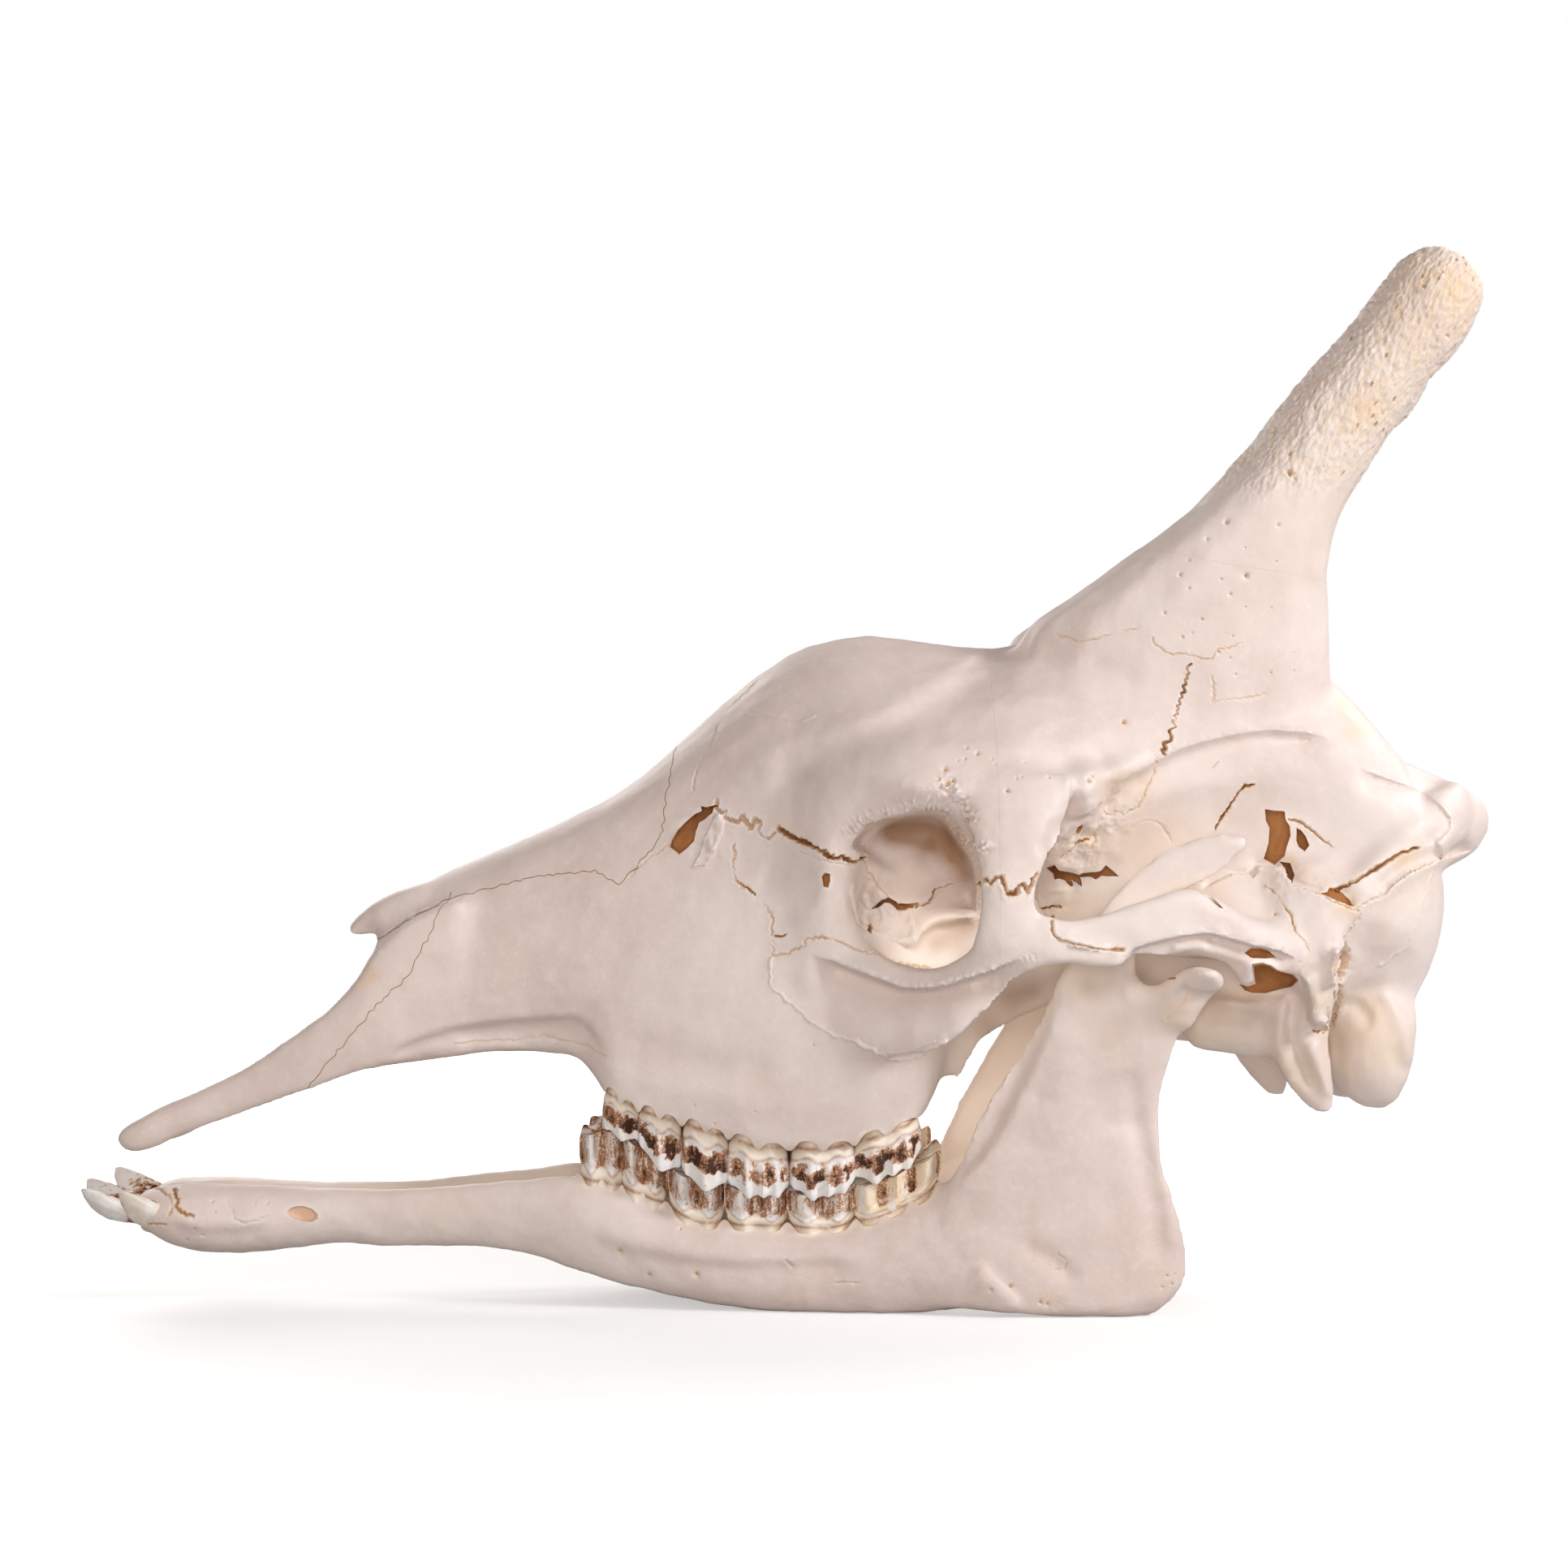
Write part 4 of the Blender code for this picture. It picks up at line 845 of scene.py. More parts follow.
def cheekTooth(name, sizes, side, up, seed):
    # root, neck, crown wall and chewing surface follow each other from the ball's pole
    front, back, outer, width, lobes = sizes
    tooth, turn, level = toothBall(name, 104, 60)
    dice = random.Random(seed)

    # height is 0 at the gum and 1 at the rim, inward covers the chewing surface, long runs from -1 at the front
    # to 1 at the back, and out from -1 at the inner face to 1 at the outer one
    height = np.interp(level, [0, 0.12, 0.24, 0.84], [-1.0, -0.85, 0.0, 1.0])
    size = np.interp(level, [0, 0.12, 0.24, 0.34, 0.55, 0.78, 0.84], [0.0, 0.62, 0.84, 0.94, 1.03, 1.04, 1.0])
    inward = smoothStep(0.84, 1.0, level)
    size = size * (1 - inward)
    long = np.sign(np.cos(turn)) * np.abs(np.cos(turn)) ** 0.66
    out = np.sign(np.sin(turn)) * np.abs(np.sin(turn)) ** 0.66
    outerFace = smoothStep(0.1, 0.7, out)
    innerFace = smoothStep(0.1, 0.7, -out)
    middles = [-1 + (2 * k + 1) / lobes for k in range(lobes)]
    lobeRise = sum(bump(long - at, 0.52 / lobes) for at in middles)
    crown = smoothStep(0.16, 0.5, height) * (1 - 0.6 * inward)
    roots = rootPlaces(lobes)

    if up > 0:
        ribs = [(at + dice.uniform(-0.03, 0.03), tall * dice.uniform(0.85, 1.1), wide)
                for at, tall, wide in (molarRibs if lobes == 2 else premolarRibs)]
        raised = sum(tall * bump(long - at, wide) for at, tall, wide in ribs)
        relief = outerFace * crown * (1.2 * raised - 1.8) + innerFace * crown * (1.6 * lobeRise - 0.6)
        rimLine = molarRim if lobes == 2 else premolarRim
    else:
        relief = (outerFace + innerFace) * crown * (6.6 * np.minimum(lobeRise, 1) ** 0.8 - 5.0)
        rimLine = lowerRims[lobes]
    rimLift = lineHeight(rimLine, long) * dice.uniform(0.9, 1.1)
    neck = bump(height - 0.12, 0.12)
    relief = relief + (1 - smoothStep(0.05, 0.34, height)) * (outerFace + innerFace) * (
        3.2 * sum(bump(long - at, 0.30) for at in roots) - 1.6) + 0.35 * neck

    x = (front + back) / 2 + ((back - front) / 2 + 0.35) * long * size
    across = outer - width / 2 + (width / 2 * out + relief) * size
    gums = plainGums(x, up)
    rim = lineHeight(bite["line"], x) + bite["rise"] * (bite["edge"] - across)
    worn = rimLift * (0.3 + 0.7 * outerFace) * (1 - smoothStep(0.0, 0.7, inward))
    pits = sum(bump(long * size * (1 + inward) - at, 0.45 / lobes) for at in middles) * bump(out * size, 0.5)
    rim = rim + up * (worn + 0.4 + 4.5 * inward * (1 - inward) + 3.0 * pits * inward)
    if up < 0:
        rim = rim + 1.2 * outerFace * (1 - inward)
    z = np.where(height < 0, gums + up * -height * 11, gums * (1 - height) + rim * height)
    writeSpots(tooth, np.column_stack([x, side * across, z]) * mm)
    roughen(tooth, 0.14 * mm, 2.2 * mm, 3, where=smoothStep(0.1, 0.3, height) * (1 - inward))

    # the marks: enamel below a line that arches over each root, and ragged brown patches in the crown's
    # hollows, which on the lower teeth are partly painted shade
    ragged = np.array([noise.fractal(Vector(spot) / 3.4 + Vector((seed, 0, 0)), 1.0, 2.0, 3)
                       for spot in np.column_stack([x, across, z])])
    longAt, heightAt = long + 0.11 * ragged, height + 0.13 * ragged
    arches = sum(bump(long - at, 0.34) for at in roots)
    wave = (0.36 - 0.14 * arches) if up > 0 else (0.46 - 0.32 * arches)
    wave = wave + 0.015 * np.sin(9 * long + seed)
    enamel = smoothStep(-0.012, 0.012, height - wave)
    stainAndShade = np.zeros(len(x))
    if up > 0:
        # brown lies in the hollows between the ribs, and ends sharply above the worn, clean tips
        ends = [rib[0] for rib in ribs]
        for low, high in zip(ends[:-1], ends[1:]):
            centre, wide = (low + high) / 2, (high - low) * dice.uniform(0.48, 0.68)
            bottom = dice.uniform(0.32, 0.46)
            strength = dice.choice([0.8, 1.0, 1.15, 1.3])
            above = smoothStep(bottom - 0.10, bottom + 0.16, heightAt)
            stainAndShade = np.maximum(stainAndShade, strength * bump(longAt - centre, wide) * above)
        plain = 0.74 * (1 - (0.75 if lobes == 2 else 0.3) * np.clip(raised / 2.6, 0, 1))
        stainAndShade = np.maximum(stainAndShade, plain * smoothStep(0.24, 0.45, heightAt))
        stainAndShade = stainAndShade * (1 - smoothStep(0.70, 0.80, heightAt + 0.05 * np.sin(7 * long + seed)))
    else:
        # the lower teeth are darkest above, partly stain and partly painted shade under the upper row, with
        # streaks down their pillars
        strength = dice.uniform(0.62, 0.8) * (0.6 if lobes == 3 else 1.0)
        stainAndShade = strength * smoothStep(0.2, 0.42, heightAt) * (0.85 + 0.15 * np.cos(3.3 * long + seed))
        stainAndShade = stainAndShade * (1 - 0.38 * lobeRise)
        # painted shade in the grooves between the lobes
        stainAndShade = np.maximum(stainAndShade, 0.78 * smoothStep(0.35, 0.05, lobeRise) * smoothStep(0.15, 0.5, heightAt))
    stainAndShade = stainAndShade * (outerFace + innerFace)
    sideGap = smoothStep(0.93, 1.0, np.abs(long)) * smoothStep(0.1, 0.3, height)
    sideGap = sideGap * (1 - smoothStep(0.8, 1.0, height))
    inside = smoothStep(0.30, 0.75, inward)
    mark(tooth, "enamel", np.where(inward > 0.02, np.maximum(1 - 1.4 * inside, 0), enamel))
    mark(tooth, "stainAndShade", np.clip(np.maximum(stainAndShade, 0.55 * sideGap) * (1 - inside) + 0.62 * inside, 0, 1))
    mark(tooth, "neck", 0.8 * bump(height - wave, 0.035) + bump(height - 0.02, 0.06))
    mark(tooth, "yellow", np.full(len(x), 1.0 if up < 0 and lobes == 3 else dice.uniform(0.0, 0.3)))
    if side * up < 0:
        turnFacesOut(tooth)
    return tooth


# Front teeth of each half: the tip and the neck (x, out, z), half the breadth and half the thickness in
# millimetres, and how far the blade is turned outwards in degrees.
frontTeeth = {
    "left": [((-333, 13, 48.5), (-306, 12, 40), 7.6, 4.4, 50),
             ((-311, 31, 47.5), (-285, 27, 39), 8.6, 4.6, 56)],
    "right": [((-338, 11, 51), (-311, 11, 43), 7.0, 4.2, 42), ((-328, 25, 55), (-302, 23, 46), 7.0, 4.4, 46)],
}


def frontTooth(name, sizes, side, seed):
    # a spade with a hollow tongue side, a curved cutting edge and a round root
    tip, neck, breadth, thick, roll = sizes
    tooth, turn, level = toothBall(name, 56, 44)
    # run is 0 at the neck and 1 at the tip
    run = np.interp(level, [0, 0.12, 0.4, 1.0], [-0.6, -0.45, 0.0, 1.0])
    wide = np.interp(run, [-0.6, -0.45, -0.1, 0.1, 0.3, 0.6, 0.85, 0.96, 1.0],
                     [0, 0.42, 0.52, 0.6, 0.82, 1.0, 0.95, 0.72, 0.0])
    deep = np.interp(run, [-0.6, -0.45, -0.1, 0.2, 0.6, 0.9, 1.0], [0, 0.8, 0.95, 1.0, 0.8, 0.36, 0.0])
    start, end = np.array(neck, float), np.array(tip, float)
    ahead = (end - start) / np.linalg.norm(end - start)
    across = np.cross([0, 0, 1], ahead)
    across /= np.linalg.norm(across)
    above = np.cross(ahead, across)
    if across[1] < 0:
        across = -across
    lean = math.radians(roll)
    breadthWay = math.cos(lean) * across + math.sin(lean) * above
    # towards the tongue
    faceWay = math.cos(lean) * above - math.sin(lean) * across
    tongue = np.sin(turn) > 0
    lift = np.sin(turn) * thick * deep - 1.8 * bump(run - 0.6, 0.3) * tongue * bump(np.cos(turn), 0.6)
    lift = lift - np.where(tongue, 0, 0.35 * bump(np.cos(turn) - 0.45, 0.2) * bump(run - 0.6, 0.35))
    middle = start + (end - start) * run[:, None] - faceWay * (3.4 * (run * (1 - run)))[:, None]
    # the cutting edge slants back towards the middle of the mouth
    middle = middle + ahead * (0.6 * np.cos(turn) * breadth * wide * smoothStep(0.15, 1.0, run))[:, None]
    spots = middle + breadthWay * (np.cos(turn) * breadth * wide)[:, None] + faceWay * lift[:, None]
    spots[:, 1] *= side
    writeSpots(tooth, spots * mm)
    roughen(tooth, 0.12 * mm, 2.5 * mm, 3)
    edge = 0.10 + 0.05 * np.cos(2 * turn)
    mark(tooth, "enamel", smoothStep(-0.01, 0.03, run - edge))
    ragged = np.array([noise.fractal(Vector(spot) / 2.6, 1.0, 2.0, 3) for spot in spots])
    foot = 0.95 * bump(run - 0.15 + 0.06 * ragged, 0.07)
    streak = 0.85 * tongue * smoothStep(1.0, 0.3, run)
    streak = streak * smoothStep(-0.2, 0.5, ragged + 0.5 * dicePatch(seed, turn))
    tipDirt = 0.6 * smoothStep(0.93, 1.0, run) * dicePatch(seed, turn)
    mark(tooth, "stainAndShade", np.clip(np.maximum(foot, streak) + tipDirt, 0, 1))
    mark(tooth, "neck", bump(run - 0.08, 0.07))
    mark(tooth, "yellow", np.full(len(spots), 0.55 if breadth > 8 else 0.2))
    turnFacesOut(tooth)
    return tooth


def dicePatch(seed, turn):
    # an uneven share round a tooth
    return 0.5 + 0.5 * np.sin(3 * turn + 1.7 * seed + 1.0)


def makeTeeth():
    made = []
    for side, half in ((-1, "left"), (1, "right")):
        for number, sizes in enumerate(upperTeeth):
            made.append(cheekTooth(f"upper_tooth_{half}_{number + 1}", sizes, side, 1, 11 * number + 3 + side))
        for number, sizes in enumerate(lowerTeeth):
            made.append(cheekTooth(f"lower_tooth_{half}_{number + 1}", sizes, side, -1, 13 * number + 5 + side))
        for number, sizes in enumerate(frontTeeth[half]):
            made.append(frontTooth(f"front_tooth_{half}_{number + 1}", sizes, side, number))
    return made


# Finishes

class Wire:  # the output of a node, on which sums can be written out
    def __init__(self, kit, socket):
        self.kit = kit
        self.socket = socket

    def sum(self, operation, *values):
        return self.kit.node("ShaderNodeMath", {"operation": operation}, dict(enumerate(values)))

    def __add__(self, other):
        return self.sum("ADD", self, other)

    def __radd__(self, other):
        return self.sum("ADD", other, self)

    def __sub__(self, other):
        return self.sum("SUBTRACT", self, other)

    def __rsub__(self, other):
        return self.sum("SUBTRACT", other, self)

    def __mul__(self, other):
        return self.sum("MULTIPLY", self, other)

    def __rmul__(self, other):
        return self.sum("MULTIPLY", other, self)

    def __pow__(self, other):
        return self.sum("POWER", self, other)


class Finish:  # a material and the nodes that make it
    def __init__(self, name, roughness):
        self.material = bpy.data.materials.new(name)
        self.material.use_nodes = True
        self.tree = self.material.node_tree
        self.shader = self.tree.nodes["Principled BSDF"]
        self.shader.inputs["Roughness"].default_value = roughness
        self.place = self.node("ShaderNodeTexCoord", out="Object")

    def node(self, kind, settings={}, values={}, out=0):
        made = self.tree.nodes.new(kind)
        for name, setting in settings.items():
            setattr(made, name, setting)
        for socket, value in values.items():
            self.join(value, made.inputs[socket])
        return Wire(self, made.outputs[out])

    def join(self, value, socket):
        if isinstance(value, Wire):
            self.tree.links.new(value.socket, socket)
        elif socket.type == "RGBA":
            socket.default_value = (*value, 1.0)
        else:
            socket.default_value = value

    def feed(self, name, value):
        self.join(value, self.shader.inputs[name])

    def marked(self, name):
        return self.node("ShaderNodeAttribute", {"attribute_name": name}, out="Fac")

    def grain(self, scale, detail=4.0, roughness=0.55, place=None, distortion=0.0):
        values = {"Vector": place or self.place, "Scale": scale, "Detail": detail, "Roughness": roughness,
                  "Distortion": distortion}
        return self.node("ShaderNodeTexNoise", {}, values, "Fac")

    def cells(self, scale, place=None):
        values = {"Vector": place or self.place, "Scale": scale}
        return self.node("ShaderNodeTexVoronoi", {}, values, "Distance")

    def between(self, low, high, value):
        # 0 below low and 1 above high
        return self.node("ShaderNodeMapRange", {"interpolation_type": "SMOOTHSTEP"},
                         {"Value": value, "From Min": low, "From Max": high, "To Min": 0.0, "To Max": 1.0})

    def blend(self, share, under, over):
        return self.node("ShaderNodeMix", {"data_type": "RGBA"}, {0: share, 6: under, 7: over}, 2)

    def coats(self, colour, tones, layers):
        # lays tones over a colour one after another, each by its share
        for share, tone in layers:
            colour = self.blend(share, colour, tones[tone])
        return colour

    def ridges(self, height):
        # relief whose height is in millimetres
        return self.node("ShaderNodeBump", {}, {"Height": height, "Strength": 1.0, "Distance": mm}, "Normal")


boneFinish = {
    "pale": (0.80, 0.695, 0.645),
    "rose": (0.71, 0.575, 0.52),
    "white": (0.88, 0.815, 0.77),
    # painted bounce light: the lighter, warmer tone that half-sheltered bone takes
    "glow": (0.92, 0.79, 0.67),
    "grey": (0.60, 0.555, 0.545),
    # painted shade of the most sheltered hollows
    "shelterShade": (0.72, 0.50, 0.33),
    "honey": (0.76, 0.52, 0.27),
    "rust": (0.40, 0.185, 0.065),
    "amber": (0.78, 0.43, 0.17),
    "deep": (0.42, 0.165, 0.05),
    "cream": (0.75, 0.61, 0.475),
    # painted shadow
    "paintedShadow": (0.36, 0.20, 0.11),
    "dark": (0.20, 0.075, 0.03),
    "roughness": 0.5,
    "poreScale": 1100.0,
}


def boneMaterial(name, horny=False):
    # clean dry bone, and on a horn core its chipped texture
    kit = Finish(name, boneFinish["roughness"])
    broad = kit.grain(8.0, 3.0, 0.5)
    patchy = kit.grain(42.0, 4.0, 0.55, distortion=0.4)
    fine = kit.grain(260.0, 4.0, 0.6)
    stain, hollow, creaseShade, high, sheltered, rough = [
        kit.marked(name) for name in ("stain", "hollow", "creaseShade", "high", "sheltered", "rough")]
    grey, warm, worn, cream, bright, paintedShadow = [
        kit.marked(name) for name in ("grey", "warm", "worn", "cream", "bright", "paintedShadow")]

    mottle = kit.between(0.32, 0.68, broad * 0.65 + patchy * 0.35)
    specks = kit.between(0.14, 0.05, kit.cells(170.0)) * kit.between(0.52, 0.66, kit.grain(34.0, 3.0))
    soaked = stain * (0.7 + fine * 0.6)
    layers = [
        (kit.between(0.45, 0.75, fine) * 0.22, "white"),
        # painted highlight on crests and painted shade in hollows, both from the bone's curvature
        (kit.between(0.15, 0.7, high) * 0.55, "white"),
        (kit.between(0.5, 0.9, creaseShade) * 0.45, "rose"),
        # painted bounce light in half-sheltered spots, painted shade in the most sheltered
        (kit.between(0.2, 0.65, sheltered) * 0.75, "glow"),
        (kit.between(0.85, 1.0, sheltered) * 0.4, "shelterShade"),
        (bright * 0.7, "white"),
        (cream * (0.7 + patchy * 0.5), "cream"),
        # painted shadow where shade falls in the eye sockets and under the cheek arch
        (paintedShadow * 0.95, "paintedShadow"),
        (grey * kit.between(0.3, 0.6, patchy) * 0.5, "grey"),
        (warm * kit.between(0.3, 0.65, patchy) * 0.75, "honey"),
        (specks * (0.1 + 0.5 * worn), "rust"),
        (kit.between(0.05, 0.5, stain * (0.75 + patchy * 0.5)) * 0.4, "honey"),
        (kit.between(0.35, 0.95, soaked), "rust"),
        (kit.between(0.02, 0.35, hollow), "amber"),
        (kit.between(0.6, 1.15, hollow * (0.45 + patchy * 1.1)), "deep"),
        (kit.between(0.75, 1.1, soaked) * 0.75, "dark"),
    ]

    kit.feed("Roughness", 0.44 + 0.14 * patchy + 0.1 * stain + 0.2 * hollow)
    pores = kit.between(0.04, 0.2, kit.cells(boneFinish["poreScale"]))
    height = pores * 0.03 + fine * (0.12 + 0.30 * worn) + patchy * 0.2
    height = height + kit.grain(620.0, 3.0, 0.6) * (0.08 + 0.12 * worn)
    height = height + kit.grain(170.0, 4.0, 0.6) * hollow * 2.0
    if horny:
        lie = {"Vector": kit.place, "Rotation": (0, skull["hornLean"], 0), "Scale": (1, 1, 1.9)}
        along = kit.node("ShaderNodeMapping", {"vector_type": "TEXTURE"}, lie, "Vector")
        chips = kit.grain(430.0, 4.0, 0.6, place=along)
        dots = kit.between(0.22, 0.08, kit.cells(230.0, place=along))
        dots = dots * kit.between(0.42, 0.56, kit.grain(80.0, 3.0))
        layers += [
            (rough * kit.between(0.50, 0.68, chips) * 0.55, "honey"),
            # partly painted shade: a darker honey in the horn's creases
            (rough * kit.between(0.6, 1.1, creaseShade) * kit.between(0.40, 0.55, patchy) * 0.6, "honey"),
            (rough * dots * 0.8, "rust"),
        ]
        height = height - chips * 0.9 * rough - dots * 0.5 * rough
    colour = kit.blend(mottle, boneFinish["pale"], boneFinish["rose"])
    kit.feed("Base Color", kit.coats(colour, boneFinish, layers))
    kit.feed("Normal", kit.ridges(height))
    kit.shader.inputs["Specular IOR Level"].default_value = 0.4
    return kit.material


toothFinish = {
    "enamel": (0.89, 0.865, 0.85),
    "enamelGrey": (0.76, 0.73, 0.74),
    "yellow": (0.86, 0.68, 0.43),
    "root": (0.92, 0.83, 0.71),
    "honey": (0.70, 0.45, 0.25),
    "tan": (0.40, 0.16, 0.06),
    "black": (0.05, 0.018, 0.008),
}


def toothMaterial():
    kit = Finish("tooth_enamel", 0.3)
    enamel, stainAndShade, neck, yellow = [kit.marked(name) for name in ("enamel", "stainAndShade", "neck", "yellow")]
    cloudy = kit.grain(150.0, 4.0, 0.6)
    upright = kit.node("ShaderNodeMapping", {}, {"Vector": kit.place, "Scale": (1.0, 1.0, 0.34)})
    streaks = kit.grain(360.0, 5.0, 0.65, place=upright, distortion=0.5)
    flecks = kit.grain(1100.0, 3.0, 0.6)
    crown = kit.blend(kit.between(0.35, 0.72, cloudy), toothFinish["enamel"], toothFinish["enamelGrey"])
    crown = kit.blend(yellow * kit.between(0.25, 0.6, cloudy) * 0.8, crown, toothFinish["yellow"])
    colour = kit.blend(enamel, toothFinish["root"], crown)
    blots = kit.grain(190.0, 3.0, 0.55, distortion=0.8)
    # the teeth's stain, with the painted shade of the lower teeth in it, broken up into blots, streaks and
    # flecks
    soiledAndShaded = stainAndShade * (0.25 + blots * 1.5) + (streaks - 0.5) * 1.9 * stainAndShade ** 0.5
    soiledAndShaded = soiledAndShaded + (flecks - 0.5) * 1.5 * stainAndShade ** 0.5
    kit.feed("Base Color", kit.coats(colour, toothFinish, [
        (neck * 0.85 * kit.between(0.25, 0.6, cloudy), "tan"),
        (kit.between(0.18, 0.5, soiledAndShaded) * 0.45, "honey"),
        (kit.between(0.38, 0.58, soiledAndShaded) * 0.9, "tan"),
        (kit.between(0.66, 0.95, soiledAndShaded), "black"),
    ]))
    kit.feed("Roughness", 0.48 - enamel * 0.24 + kit.between(0.4, 0.7, soiledAndShaded) * 0.25)
    height = streaks * 0.16 + flecks * 0.04 + kit.between(0.45, 0.7, soiledAndShaded) * 0.06
    kit.feed("Normal", kit.ridges(height))
    kit.shader.inputs["Specular IOR Level"].default_value = 0.36
    return kit.material


def curvature(piece):
    # positive in hollows and negative on crests, evened out a little
    spots, normals, ends = readSpots(piece), readNormals(piece), readEdges(piece)
    length = np.linalg.norm(spots[ends[:, 0]] - spots[ends[:, 1]], axis=1)
    count = len(spots)
    share = np.maximum(np.bincount(ends[:, 0], minlength=count) + np.bincount(ends[:, 1], minlength=count), 1)
    reach = (np.bincount(ends[:, 0], length, count) + np.bincount(ends[:, 1], length, count)) / share
    bent = np.einsum("ij,ij->i", neighbourMean(spots, ends) - spots, normals) / np.maximum(reach, 1e-6) ** 2
    for turn in range(6):
        bent = 0.5 * bent + 0.5 * neighbourMean(bent, ends)
    return bent


def boneTree():
    # all the plain bones together, to find what shelters a spot
    spots, faces = [], []
    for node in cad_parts.values():
        start = len(spots)
        spots += [vertex.co.copy() for vertex in node.data.vertices]
        faces += [[start + i for i in face.vertices] for face in node.data.polygons]
    return BVHTree.FromPolygons(spots, faces)


sheltering = {
    "spacing": 0.0045,      # between the spots that look around
    "ways": 40,             # in which they look, evenly round a ball
    "sight": 0.22,
    "leastSlope": 0.15,     # ways along the surface aren't looked in
    "evening": 14,
}


def shelter(piece, around):
    # how closed in each spot is: 0 in the open, 1 deep inside
    spots, normals, ends = readSpots(piece), readNormals(piece), readEdges(piece)
    samples = np.unique(np.floor(spots / sheltering["spacing"]).astype(int), axis=0, return_index=True)[1]
    turn = math.pi * (3 - math.sqrt(5))
    ways = []
    for k in range(sheltering["ways"]):
        h = 1 - (k + 0.5) * 2 / sheltering["ways"]
        wide = math.sqrt(1 - h * h)
        ways.append(Vector((math.cos(turn * k) * wide, math.sin(turn * k) * wide, h)))
    closed = []
    for i in samples:
        normal = Vector(normals[i])
        start = Vector(spots[i]) + normal * 5 * mm
        seen = total = 0.0
        for way in ways:
            slope = way.dot(normal)
            if slope > sheltering["leastSlope"]:
                total += slope
                place, face = around.ray_cast(start, way, sheltering["sight"])[:2]
                seen += slope if place is None or face.dot(way) > 0 else 0.0
        closed.append(1 - seen / total if total else 0.0)
    values = np.array(closed)[nearest(spots, spots[samples])[1]]
    for turns in range(sheltering["evening"]):
        values = neighbourMean(values, ends)
    return values


def formBone(piece, form, strokes, up, slack):
    # works the large relief into an even skin, and makes room for the row of crowns
    sculpt(piece, skinTree(piece), strokes)
    reskin(piece, form["fineVoxel"])
    relax(piece, 4)
    cutAway(piece, [rowCutter("crowns", *form["row"], up, slack)])


def openBone(piece, seams, holes, pits, sides):
    # cuts the holes; gives the skin as it was, and where the seams and the pits lie on it
    tree = skinTree(piece)
    cutters = [holeCutter(tree, name, hole, side) for name, hole in holes.items() for side in sides]
    cutAway(piece, [cutter for cutter in cutters if cutter])
    return tree, traceSeams(tree, seams, sides), tracePits(tree, pits, sides)


def depthUnder(tree, piece):
    return np.array([tree.find_nearest(spot)[3] or 0.0 for spot in readSpots(piece)])


def gumStain(spots, row, up):
    # a thin brown edge where the bone meets the cheek teeth
    x, y, z = spots.T / mm
    return 0.55 * bump(z - gumLine(x, up), 1.0) * (x > row[0]) * (x < row[1]) * (np.abs(y) > 24)


def hornShare(height):
    # 0 on the smooth foot of the horn cores, 1 on their rough upper part
    return smoothStep(skull["hornRough"], skull["hornRough"] + skull["hornBlend"], height)


def paintBone(piece, unparted, extraStain, hollowShare=1.0):
    spots = readSpots(piece)
    finder, bent, closed, sunk, stain = unparted
    same = nearest(spots, finder)[1]
    bent = bent[same]
    # how closed in each spot is, which the finish paints as bounce light and shade
    mark(piece, "sheltered", closed[same])
    mark(piece, "stain", stain[same] + extraStain(spots))
    mark(piece, "hollow", hollowShare * smoothStep(1.3 * mm, 4.5 * mm, sunk[same]))
    for name, places in (("grey", greyPatches), ("warm", warmPatches), ("worn", roughPatches),
                         ("cream", creamPatches), ("bright", brightPatches)):
        mark(piece, name, np.minimum(photoShare(piece, places), 1))
    # painted shadow, dark brown where shade falls under the sockets' roofs and the cheek arch
    paintedShadow = np.minimum(photoShare(piece, paintedShadowPatches, -0.35), 1)
    # not on the rims of the eye sockets, which lie further out
    mark(piece, "paintedShadow", paintedShadow * smoothStep(86 * mm, 74 * mm, np.abs(spots[:, 1])))
    mark(piece, "rough", hornShare(spots[:, 2]))
    # the curvature, for a painted shade in the hollows and a painted highlight on the crests
    mark(piece, "creaseShade", 0.4 + bent * 0.004)
    mark(piece, "high", -bent * 0.004)


def finishPiece(piece, material, nodes=(), angle=45):
    piece.data.materials.clear()
    piece.data.materials.append(material)
    pick(piece)
    bpy.ops.object.shade_smooth_by_angle(angle=math.radians(angle))
    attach(piece, "root")
    if nodes:
        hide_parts(*nodes)


# The skull without its lower jaw

